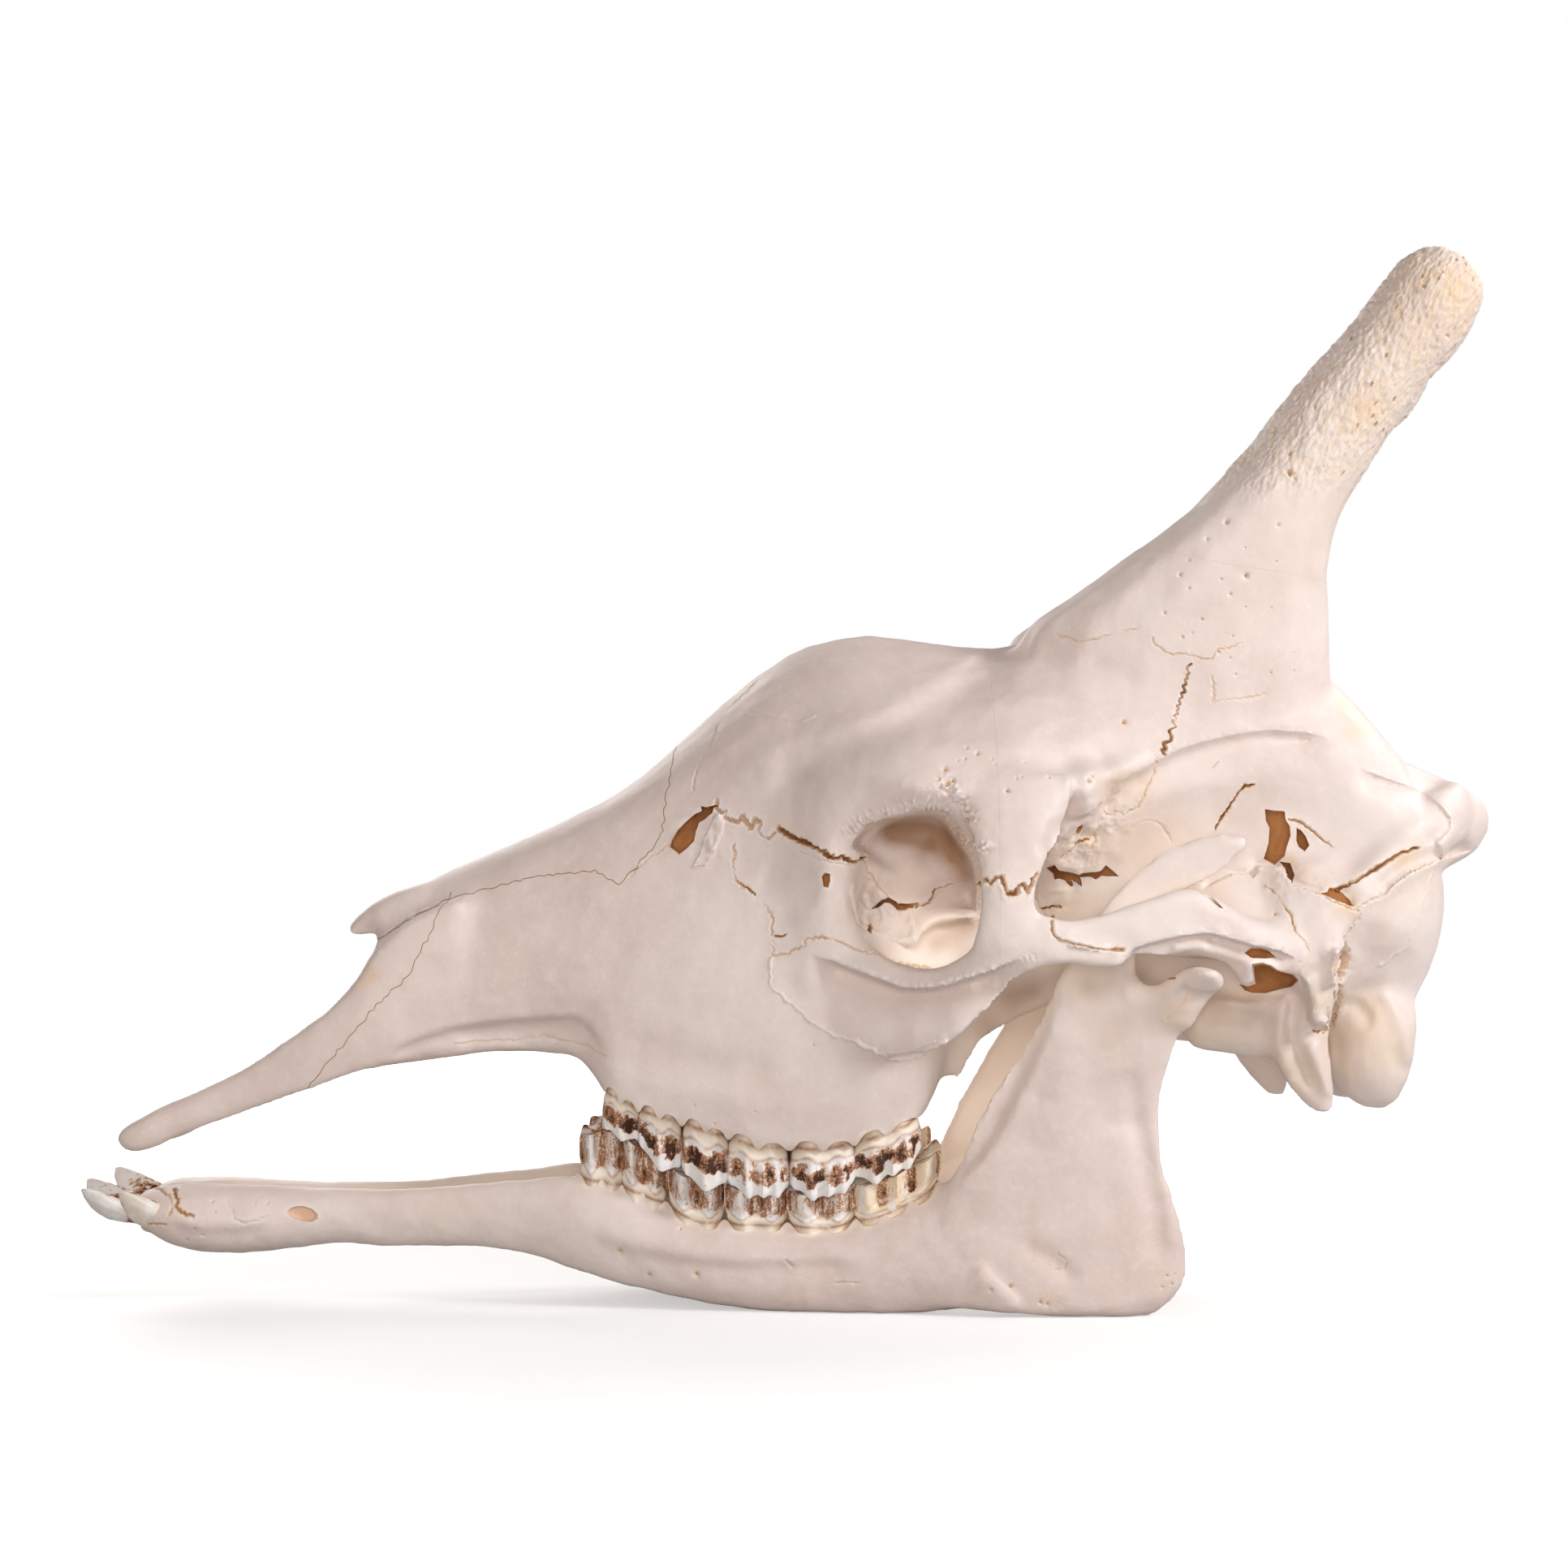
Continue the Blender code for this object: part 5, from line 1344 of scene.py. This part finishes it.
skull = {
    "nodes": ["cranium", "nasal_bones", "premaxilla_left", "premaxilla_right", "ossicone_left",
              "ossicone_right"],
    "voxel": 0.0018,
    "fineVoxel": 0.0017,    # of the second skin, over the sculpted form
    "swell": 0.00022,       # closes the gaps between the bones before they are skinned
    "evening": 26,
    "hornRough": 0.368,     # the height from which the horn cores are rough
    "hornBlend": 0.022,     # and the height over which they get so
    "hornLean": math.radians(26),
    # places with fine relief: column, row and reach in pixels
    "fineSpots": [(1600, 1095, 34), (1640, 1180, 30), (1325, 1050, 36), (1170, 990, 40), (1130, 985, 34),
                  (1090, 1000, 30), (1055, 1025, 26), (1200, 1035, 30), (1208, 1110, 30), (872, 1036, 38),
                  (1365, 1005, 26), (1085, 1125, 48), (1180, 1205, 30), (1230, 1195, 30), (1270, 1175, 22),
                  (1135, 1216, 26)],
    # the lines on which the bones part, x and z as seen from the side, in millimetres
    "nasalLine": [(-240, 144), (-206, 162), (-193, 171), (-160, 190), (-118, 201), (-88, 204), (-76, 197),
                  (-57, 219), (-46, 310)],
    "muzzleLine": [(-157, 194), (-164, 177), (-176, 154), (-190, 141), (-210, 118), (-232, 92)],
    "hornLine": [(110, 364), (200, 342), (300, 330)],
    "seamGap": 0.25,
    "hiddenGap": 0.04,
    "faceEnd": 95,          # where the hidden cut between face and braincase runs
    "most": 90000,          # corners of a part that isn't cut again
    "crumb": 300,           # faces below which a part is dropped
    "row": (-88, 67),       # from where to where the crowns' room reaches
    # the parts are told apart by where their middles lie
    "hornsAbove": 360,
    "muzzleBefore": -170,
    "muzzleBelow": 165,
    "nasalBefore": -60,
}
skullMoulds = [
    # the wall behind the eye is broader than a plain post, and slopes back into the temple
    (1318, 962, 99, 12), (1338, 962, 95, 12), (1360, 960, 89, 11), (1380, 950, 85, 10), (1320, 985, 101, 11),
    (1340, 985, 95, 10), (1318, 1005, 100, 9), (1335, 1000, 92, 8), (1306, 1025, 99, 8), (1295, 1045, 101, 7),
    (1400, 940, 81, 9),
    # the papery blister on the eye socket's front floor
    (1062, 1105, 66, 7), (1075, 1125, 64, 8), (1060, 1135, 68, 6), (1100, 1140, 58, 8), (1118, 1150, 55, 7),
]
skullStrokes = [
    # the ridge under the eye that the chewing muscle hangs from, with its shaded underside
    ledge([(995, 1176), (1030, 1186), (1060, 1198), (1090, 1210), (1112, 1218), (1150, 1218), (1180, 1211),
        (1210, 1201), (1240, 1189), (1268, 1178)], 11, 2.0, 28, taper=0.2, lip=0.12, crisp=0.25),
    swell([(1030, 1300), (1070, 1312), (1105, 1318), (1150, 1305)], -1.0, 6),
    swell([(965, 1195), (980, 1225), (1010, 1250), (1050, 1268), (1090, 1280), (1130, 1275)], -1.6, 7),
    # the eye socket's rim, its shelf at the back and the passage at the bottom
    swell([(1058, 1160), (1085, 1182), (1115, 1194), (1145, 1196), (1172, 1185), (1196, 1166), (1206, 1140)],
        1.2, 3.0),
    swell([(1040, 1044), (1055, 1030), (1078, 1014), (1105, 1003), (1135, 1000), (1156, 1000), (1170, 1016),
        (1184, 1040), (1200, 1060), (1206, 1085)], 1.4, 3.6, taper=0.1),
    ledge([(1203, 1136), (1176, 1138), (1150, 1143), (1136, 1156), (1129, 1172)], -7.0, 2.5, 14, taper=0.1),
    swell([(1044, 1096), (1041, 1112), (1046, 1132), (1058, 1152)], 1.2, 2.5),
    ledge([(1046, 1046), (1056, 1031), (1070, 1017), (1090, 1009), (1110, 1005), (1150, 1003), (1163, 1008),
        (1176, 1034), (1196, 1060), (1202, 1090), (1203, 1128)], 12, 1.6, 34, taper=0.06, lip=0.03, depth=60,
        crisp=0.3),
    # the hollow of the lacrimal bone, and the forehead's trough above the brow
    swell([(935, 1075), (975, 1090), (1010, 1110)], -1.6, 9),
    swell([(1245, 790), (1215, 830), (1165, 868), (1110, 896), (1050, 920), (985, 946), (935, 962)], -3.4, 9),
    swell([(1225, 770), (1190, 812), (1140, 850), (1085, 878), (1020, 900), (955, 925), (915, 945)], 1.4, 5),
    swell([(1150, 905), (1090, 922), (1030, 945), (985, 975)], 0.9, 6),
    # the temple's rim from the eye to the crest, and the crest's hook behind
    ledge([(1283, 1070), (1300, 1042), (1330, 1009), (1362, 980), (1400, 952), (1425, 939), (1450, 925),
        (1482, 914), (1520, 905), (1565, 900), (1610, 903), (1650, 915)], 4.2, 3.0, 18, taper=0.12, depth=20,
        crisp=0.12),
    ledge([(1670, 945), (1700, 957), (1730, 967), (1757, 978), (1775, 992), (1787, 1008), (1787, 1022),
        (1774, 1036), (1750, 1045)], 3.2, 2.0, 11, taper=0.15, crisp=0.2),
    # the shelf of the nape's crest
    ledge([(1820, 1046), (1790, 1056), (1760, 1064), (1735, 1076), (1715, 1092), (1702, 1110)], 4.5, 2.5, 20,
        taper=0.15, crisp=0.4),
    swell([(1668, 1150), (1690, 1175), (1720, 1185), (1750, 1180)], -1.2, 7),
    # the cheek arch: its upper line, the lap of the two bones, the joint's underside
    swell([(1316, 1140), (1360, 1128), (1400, 1116), (1440, 1104), (1472, 1100), (1500, 1112), (1530, 1130),
        (1560, 1147), (1590, 1160)], 1.3, 3.4),
    ledge([(1299, 1150), (1320, 1166), (1350, 1171), (1378, 1173)], 1.6, 1.3, 9, taper=0.2, crisp=0.5),
    ledge([(1385, 1180), (1400, 1168), (1425, 1160), (1460, 1152), (1490, 1150), (1520, 1158), (1545, 1165),
        (1575, 1171), (1600, 1183)], 6.0, 1.6, 9, taper=0.1, crisp=0.35),
    swell([(1440, 1168), (1465, 1164), (1492, 1166)], 2.6, 3.5),
    ledge([(1672, 1122), (1655, 1112), (1640, 1106), (1612, 1096), (1595, 1090), (1588, 1080), (1572, 1068),
        (1550, 1067), (1545, 1079), (1520, 1077), (1500, 1086), (1480, 1098)], 2.6, 1.0, 9, taper=0.06,
        crisp=0.7),
    swell([(1400, 1140), (1450, 1132), (1500, 1138), (1540, 1150)], -1.2, 5),
    # the blade behind the ear and the long process under it
    ledge([(1650, 1165), (1646, 1200), (1645, 1228), (1638, 1256), (1624, 1270), (1612, 1258), (1610, 1235),
        (1606, 1212), (1598, 1196)], -5.0, 1.3, 9, taper=0.06, crisp=0.5),
    swell([(1625, 1180), (1626, 1210), (1626, 1245)], 1.6, 4.0),
    swell([(1601, 1216), (1594, 1240), (1590, 1264), (1596, 1290), (1610, 1318), (1622, 1350)], -4.0, 2.4),
    swell([(1586, 1222), (1578, 1250), (1573, 1285), (1580, 1320), (1596, 1350)], 2.6, 3.0),
    swell([(1612, 1275), (1618, 1300), (1630, 1330), (1640, 1358)], 2.8, 2.6),
    swell([(1625, 1262), (1616, 1280), (1606, 1290)], -2.4, 2.2),
    swell([(1530, 1215), (1540, 1198), (1546, 1186)], 1.8, 2.4),
    ledge([(1600, 1225), (1570, 1232), (1530, 1234), (1490, 1228)], 3.0, 1.5, 10, taper=0.15),
    # the knuckle that the neck turns on
    swell([(1697, 1214), (1716, 1242), (1731, 1278), (1738, 1320)], 2.4, 2.8),
    ledge([(1650, 1226), (1676, 1232), (1692, 1246), (1694, 1262), (1680, 1276)], 1.8, 1.6, 10, taper=0.15),
    swell([(1712, 1290), (1722, 1312), (1734, 1326)], -1.0, 3.0),
    swell([(1645, 1262), (1650, 1290), (1648, 1320), (1650, 1346)], -4.0, 3.0),
    # the base of the braincase
    swell([(1470, 1262), (1500, 1252), (1540, 1256), (1566, 1268)], -1.8, 4),
    swell([(1500, 1230), (1530, 1236), (1568, 1232)], 1.5, 4),
    # the muzzle's lower edge over the palate
    ledge([(470, 1298), (520, 1277), (560, 1266), (620, 1258), (680, 1253), (706, 1252), (726, 1262),
        (740, 1284), (749, 1304)], 3.4, 2.0, 14, taper=0.12),
    swell([(560, 1276), (620, 1270), (680, 1268), (720, 1277)], -1.4, 4),
    swell([(760, 1290), (800, 1298), (850, 1312), (900, 1318), (960, 1318)], -1.2, 9),
]
rimFolds = [
    dict(path=[(1206, 1082), (1197, 1056), (1183, 1038), (1170, 1018), (1158, 1001), (1135, 998), (1110, 1001),
        (1085, 1009), (1060, 1024), (1038, 1043)], fade=9.0, period=1.7, height=1.7, knobs=0.35),
    dict(path=[(1210, 1060), (1199, 1035), (1188, 1012), (1176, 990), (1160, 972), (1145, 965)], fade=9.0,
        period=2.4, height=1.7, knobs=0.9),
    dict(path=[(1205, 1142), (1206, 1110), (1207, 1090)], fade=5.0, period=1.6, height=1.1, knobs=0.4),
    dict(path=[(1112, 1216), (1150, 1216), (1180, 1209), (1210, 1199), (1240, 1187), (1268, 1177),
        (1290, 1171)], fade=4.0, period=1.7, height=0.9, knobs=0.3),
]


def seamSheet(name, line, gap, swing=0.0, wave=6.0, seed=0):
    # a thin upright sheet through a line seen from the side, right across the skull
    path = wander(line, 0.7, swing, wave, seed) if swing else evenPath(line, 4)[0]
    path = np.vstack([path, line[-1]])
    sheet = plainMesh(bpy.ops.mesh.primitive_grid_add, name, x_subdivisions=len(path) - 1, y_subdivisions=1,
                      size=2)
    spots = readSpots(sheet)
    column = np.rint((spots[:, 0] + 1) / 2 * (len(path) - 1)).astype(int)
    writeSpots(sheet, np.column_stack([path[column, 0] * mm, spots[:, 1] * 0.15, path[column, 1] * mm]))
    thick = sheet.modifiers.new("thick", "SOLIDIFY")
    thick.thickness = gap * mm
    thick.offset = 0.0
    applyModifiers(sheet)
    return sheet, path


def buildSkull(bone, horn, around):
    whole = boneCopy("cranium", "skull")
    others = [boneCopy(node, node + "_copy") for node in skull["nodes"][1:]]
    pick(whole)
    for other in others:
        other.select_set(True)
    bpy.ops.object.join()
    reskin(whole, skull["voxel"], skull["swell"])
    relax(whole, skull["evening"])
    mould(whole, skullMoulds)
    relax(whole, 2)
    formBone(whole, skull, skullStrokes, 1, 0.6)
    print("skull skinned and sculpted", len(whole.data.vertices))

    tree, seamTrace, pitTrace = openBone(whole, skullSeams, skullHoles, skullPits, (-1, 1))
    print("skull opened", len(whole.data.vertices))

    crispEdges = [stroke for stroke in skullStrokes if "crisp" in stroke]
    edgePoints = [point for stroke in crispEdges for side in (-1, 1)
                  for point in landOn(tree, evenPath(stroke["path"], 3.0)[0], side)]
    for turn in range(2):
        chosen = nearest(readSpots(whole), seamTrace[0])[0] < fineRound["seams"]
        chosen |= nearest(readSpots(whole), pitTrace[0] + edgePoints)[0] < fineRound["pits"]
        chosen |= nearPhoto(whole, skull["fineSpots"])
        if turn == 0:
            chosen |= readSpots(whole)[:, 2] > skull["hornRough"]
        refine(whole, chosen)
    sunk = depthUnder(tree, whole)
    sculpt(whole, tree, [stroke | {"drop": stroke["drop"] * stroke["crisp"], "sharp": 0.6,
                                   "fade": 0.4 * stroke["fade"]} for stroke in crispEdges])
    layPlates(whole, skullPlates)
    wrinkle(whole, tree, rimFolds)
    stain = carveSeams(whole, *seamTrace) + carvePits(whole, *pitTrace)
    print("seams carved", len(whole.data.vertices))

    roughen(whole, 0.35 * mm, 16 * mm, 4)
    roughen(whole, 1.3 * mm, 8 * mm, 4, where=photoShare(whole, crumpledPatches))
    spots = readSpots(whole)
    lean = np.array([math.sin(skull["hornLean"]), 0, math.cos(skull["hornLean"])])
    drawnOut = np.eye(3) - 0.5 * np.outer(lean, lean)
    horns = hornShare(spots[:, 2] + 0.006 * np.sin(spots[:, 1] * 300))
    roughen(whole, 0.35 * mm, 8 * mm, 2, where=horns)
    roughen(whole, 0.62 * mm, 1.4 * mm, 2, where=horns, stretch=drawnOut)

    unparted = (kdFinder(readSpots(whole)), curvature(whole), shelter(whole, around), sunk, stain)

    # the bones part along their sutures
    nasalSheet, nasalPath = seamSheet("nasalSheet", skull["nasalLine"], skull["seamGap"], 0.8, 6, 3)
    cutAway(whole, [nasalSheet])
    muzzleSheet, muzzlePath = seamSheet("muzzleSheet", skull["muzzleLine"], skull["seamGap"], 0.9, 7, 5)
    cutAway(whole, [muzzleSheet])
    cutAway(whole, [seamSheet("hornSheet", skull["hornLine"], skull["hiddenGap"])[0]])
    parts = []
    for half in splitAt(whole, 1, 0.0, skull["hiddenGap"] * mm):
        for part in looseParts(half, skull["crumb"]):
            if len(part.data.vertices) > skull["most"]:
                parts += splitAt(part, 0, skull["faceEnd"] * mm, skull["hiddenGap"] * mm)
            else:
                parts.append(part)
    print("skull parted", [len(part.data.polygons) for part in parts])

    def sutureStain(spots):
        flat = [Vector((x * mm, 0, z * mm)) for x, z in [*nasalPath[:-60], *muzzlePath]]
        flatSpots = np.column_stack([spots[:, 0], np.zeros(len(spots)), spots[:, 2]])
        return 0.42 * bump(nearest(flatSpots, flat)[0], 0.7 * mm) + gumStain(spots, skull["row"], 1)

    for part in parts:
        spots = readSpots(part)
        middle = spots.mean(axis=0) / mm
        half = "left" if middle[1] < 0 else "right"
        if middle[2] > skull["hornsAbove"]:
            kind, node = "ossicone_", "ossicone_" + half
        elif middle[0] < skull["muzzleBefore"] and middle[2] < skull["muzzleBelow"]:
            kind, node = "premaxilla_", "premaxilla_" + half
        elif middle[0] < skull["nasalBefore"]:
            kind, node = "nasal_bone_", "nasal_bones"
        else:
            kind, node = "face_" if middle[0] < skull["faceEnd"] else "braincase_", "cranium"
        part.name = kind + half + "_bone"
        paintBone(part, unparted, sutureStain)
        material, slot = (horn, "horn_bone") if kind == "ossicone_" else (bone, "skull_bone")
        finishPiece(part, material, [node])
        print(part.name, len(part.data.polygons))


jaw = {"voxel": 0.0018, "fineVoxel": 0.0017, "evening": 24, "row": (-98, 73), "chin": -306.5}
jawStrokes = [
    # the ridge down the front of the upright part, and the groove and rim along its back
    ledge([(1308, 1215), (1292, 1268), (1268, 1325), (1242, 1380), (1212, 1428), (1172, 1470)], 3.4, 3.0, 13,
        taper=0.15),
    swell([(1392, 1310), (1400, 1380), (1412, 1440), (1422, 1490), (1422, 1528), (1410, 1560)], -2.2, 5.0),
    swell([(1425, 1380), (1436, 1440), (1444, 1500), (1444, 1550)], 1.0, 4.0),
    swell([(1350, 1330), (1370, 1360), (1372, 1400)], -1.2, 9),
    swell([(1330, 1215), (1360, 1225), (1390, 1215)], -1.8, 6),
    swell([(1320, 1260), (1310, 1340), (1290, 1420)], 1.0, 8),
    # the hinge's knuckle stands over its neck
    ledge([(1456, 1209), (1467, 1218), (1484, 1221), (1503, 1220), (1516, 1212)], 3.6, 1.4, 9, taper=0.12),
    swell([(1462, 1203), (1485, 1198), (1508, 1200)], 0.9, 3),
    # the jaw's lower corner
    ledge([(1208, 1552), (1226, 1573), (1246, 1591), (1264, 1610)], -2.4, 2.2, 14, taper=0.15),
    swell([(1255, 1535), (1285, 1547), (1308, 1562), (1326, 1588)], -1.8, 4.5),
    swell([(1300, 1606), (1350, 1612), (1400, 1606), (1440, 1590)], 0.8, 3),
    # the body turns under along a low line, and the front end is wrung
    ledge([(700, 1508), (750, 1526), (800, 1540), (860, 1550), (930, 1553), (1020, 1549), (1090, 1556)], 2.2,
        5.0, 24, taper=0.2),
    ledge([(200, 1503), (240, 1512), (290, 1512), (335, 1505)], 1.8, 3.0, 14, taper=0.2),
    swell([(276, 1476), (288, 1488), (292, 1500)], -0.9, 3.5),
]


def buildJaw(half, side, material, around):
    node = "mandible_" + half
    bone = boneCopy(node, node + "_bone")
    chinBlock = plainMesh(bpy.ops.mesh.primitive_cube_add, "chinBlock", size=0.2,
                          location=(jaw["chin"] * mm - 0.1, 0, 0.05))
    bpy.ops.object.transform_apply(location=True)
    cutAway(bone, [chinBlock])
    reskin(bone, jaw["voxel"])
    relax(bone, jaw["evening"])
    formBone(bone, jaw, jawStrokes, -1, 0.4)
    tree, seamTrace, pitTrace = openBone(bone, jawSeams, jawHoles, jawPits, (side,))
    for turn in range(2):
        refine(bone, nearest(readSpots(bone), seamTrace[0] + pitTrace[0])[0] < fineRound["seams"])
    sunk = depthUnder(tree, bone)
    stain = carveSeams(bone, *seamTrace) + carvePits(bone, *pitTrace)
    roughen(bone, 0.45 * mm, 16 * mm, 4)
    unparted = (kdFinder(readSpots(bone)), curvature(bone), shelter(bone, around), sunk, stain)
    paintBone(bone, unparted, lambda spots: gumStain(spots, jaw["row"], -1), hollowShare=0.2)
    finishPiece(bone, material, [node])
    print(bone.name, len(bone.data.polygons))


# Camera, light and floor

studio = {
    "ambient": (1.0, 0.90, 0.84),
    "ambientStrength": 0.12,
    "floorSize": 14,
    "floorTone": 0.50,
    "floorGlow": 0.45,
    # lamps aimed at the skull's middle: place, size, watts and colour
    "lamps": {"key": ((1.42, -0.78, 0.95), 0.5, 19.5, (0.985, 1.0, 1.03)),
              "front": ((-0.62, -1.62, 1.18), 1.4, 7, (1.0, 0.945, 0.92)),
              "low": ((-0.06, -1.90, 0.30), 0.6, 12, (1.0, 0.95, 0.91)),
              "rim": ((1.28, 0.74, 1.23), 0.8, 12, (1.0, 1.0, 1.0)),
              "back": ((-1.1, 1.8, 1.2), 1.4, 30, (1.0, 0.97, 0.94))},
    "middle": (0, 0, 0.2),
    # a small one between the jaws, for the far half's inner side: place, aim, size, watts and colour
    "mouthLamp": ((0.100, -0.005, 0.080), (0.100, 0.060, 0.098), 0.06, 0.017, (1.0, 0.90, 0.80)),
}


def splitByEye(tree, output, seen, unseen):
    # shows one shader to the camera and another to everything that is lit by it
    rays, either = tree.nodes.new("ShaderNodeLightPath"), tree.nodes.new("ShaderNodeMixShader")
    tree.links.new(rays.outputs["Is Camera Ray"], either.inputs[0])
    tree.links.new(unseen.outputs[0], either.inputs[1])
    tree.links.new(seen.outputs[0], either.inputs[2])
    tree.links.new(either.outputs[0], tree.nodes[output].inputs["Surface"])


def hangLamp(name, place, aim, size, watts, colour):
    light = bpy.data.lights.new(name, "AREA")
    light.size = size
    light.energy = watts
    light.color = colour
    lamp = putIn(name, light)
    lamp.location = place
    lamp.rotation_euler = (Vector(aim) - Vector(place)).to_track_quat("-Z", "Y").to_euler()
    lamp.visible_camera = False


def makeStage():
    floor = plainMesh(bpy.ops.mesh.primitive_plane_add, "floor", size=studio["floorSize"],
                      location=(0, 0, -0.4 * mm))
    kit = Finish("pale_floor", 0.7)
    kit.feed("Base Color", (0.70, 0.70, 0.70))
    away = kit.node("ShaderNodeVectorMath", {"operation": "LENGTH"}, {0: kit.place}, "Value")
    glow = (studio["floorGlow"],) * 3
    kit.feed("Emission Color", kit.blend(kit.between(0.45, 1.0, away), glow, (1.0, 1.0, 1.0)))
    kit.shader.inputs["Emission Strength"].default_value = 1.0
    # the floor is blown out to white for the eye and lights the bone as a plain pale one
    dim = kit.tree.nodes.new("ShaderNodeBsdfDiffuse")
    dim.inputs["Color"].default_value = (*[studio["floorTone"]] * 3, 1.0)
    splitByEye(kit.tree, "Material Output", kit.shader, dim)
    floor.data.materials.append(kit.material)

    # a white studio to look at, and a dimmer, warmer one to be lit by
    world = bpy.data.worlds.new("studio")
    world.use_nodes = True
    nodes = world.node_tree.nodes
    ambient, white = nodes["Background"], nodes.new("ShaderNodeBackground")
    ambient.inputs["Color"].default_value = (*studio["ambient"], 1.0)
    ambient.inputs["Strength"].default_value = studio["ambientStrength"]
    white.inputs["Color"].default_value = (1.0, 1.0, 1.0, 1.0)
    splitByEye(world.node_tree, "World Output", white, ambient)
    bpy.context.scene.world = world

    for name, (place, size, watts, colour) in studio["lamps"].items():
        hangLamp(name, place, studio["middle"], size, watts, colour)
    hangLamp("mouth", *studio["mouthLamp"])


def makeCamera():
    camera = bpy.data.cameras.new("camera")
    camera.sensor_width = 36
    camera.lens = 36 * photo["distance"] / (photo["pixels"] * photo["pixelSize"])
    camera.shift_y = (photo["horizonRow"] - photo["pixels"] / 2) / photo["pixels"]
    holder = putIn("camera", camera)
    holder.location = (0, -photo["distance"], photo["eyeHeight"])
    holder.rotation_euler = (math.radians(90), 0, 0)
    bpy.context.scene.camera = holder
    bpy.context.scene.view_settings.view_transform = "Standard"


makeCamera()
makeStage()
bone = boneMaterial("skull_bone")
around = boneTree()
buildSkull(bone, boneMaterial("horn_bone", horny=True), around)
jawBone = boneMaterial("jaw_bone")
buildJaw("left", -1, jawBone, around)
buildJaw("right", 1, jawBone, around)
enamel = toothMaterial()
for tooth in makeTeeth():
    finishPiece(tooth, enamel, angle=60)
print("teeth made")
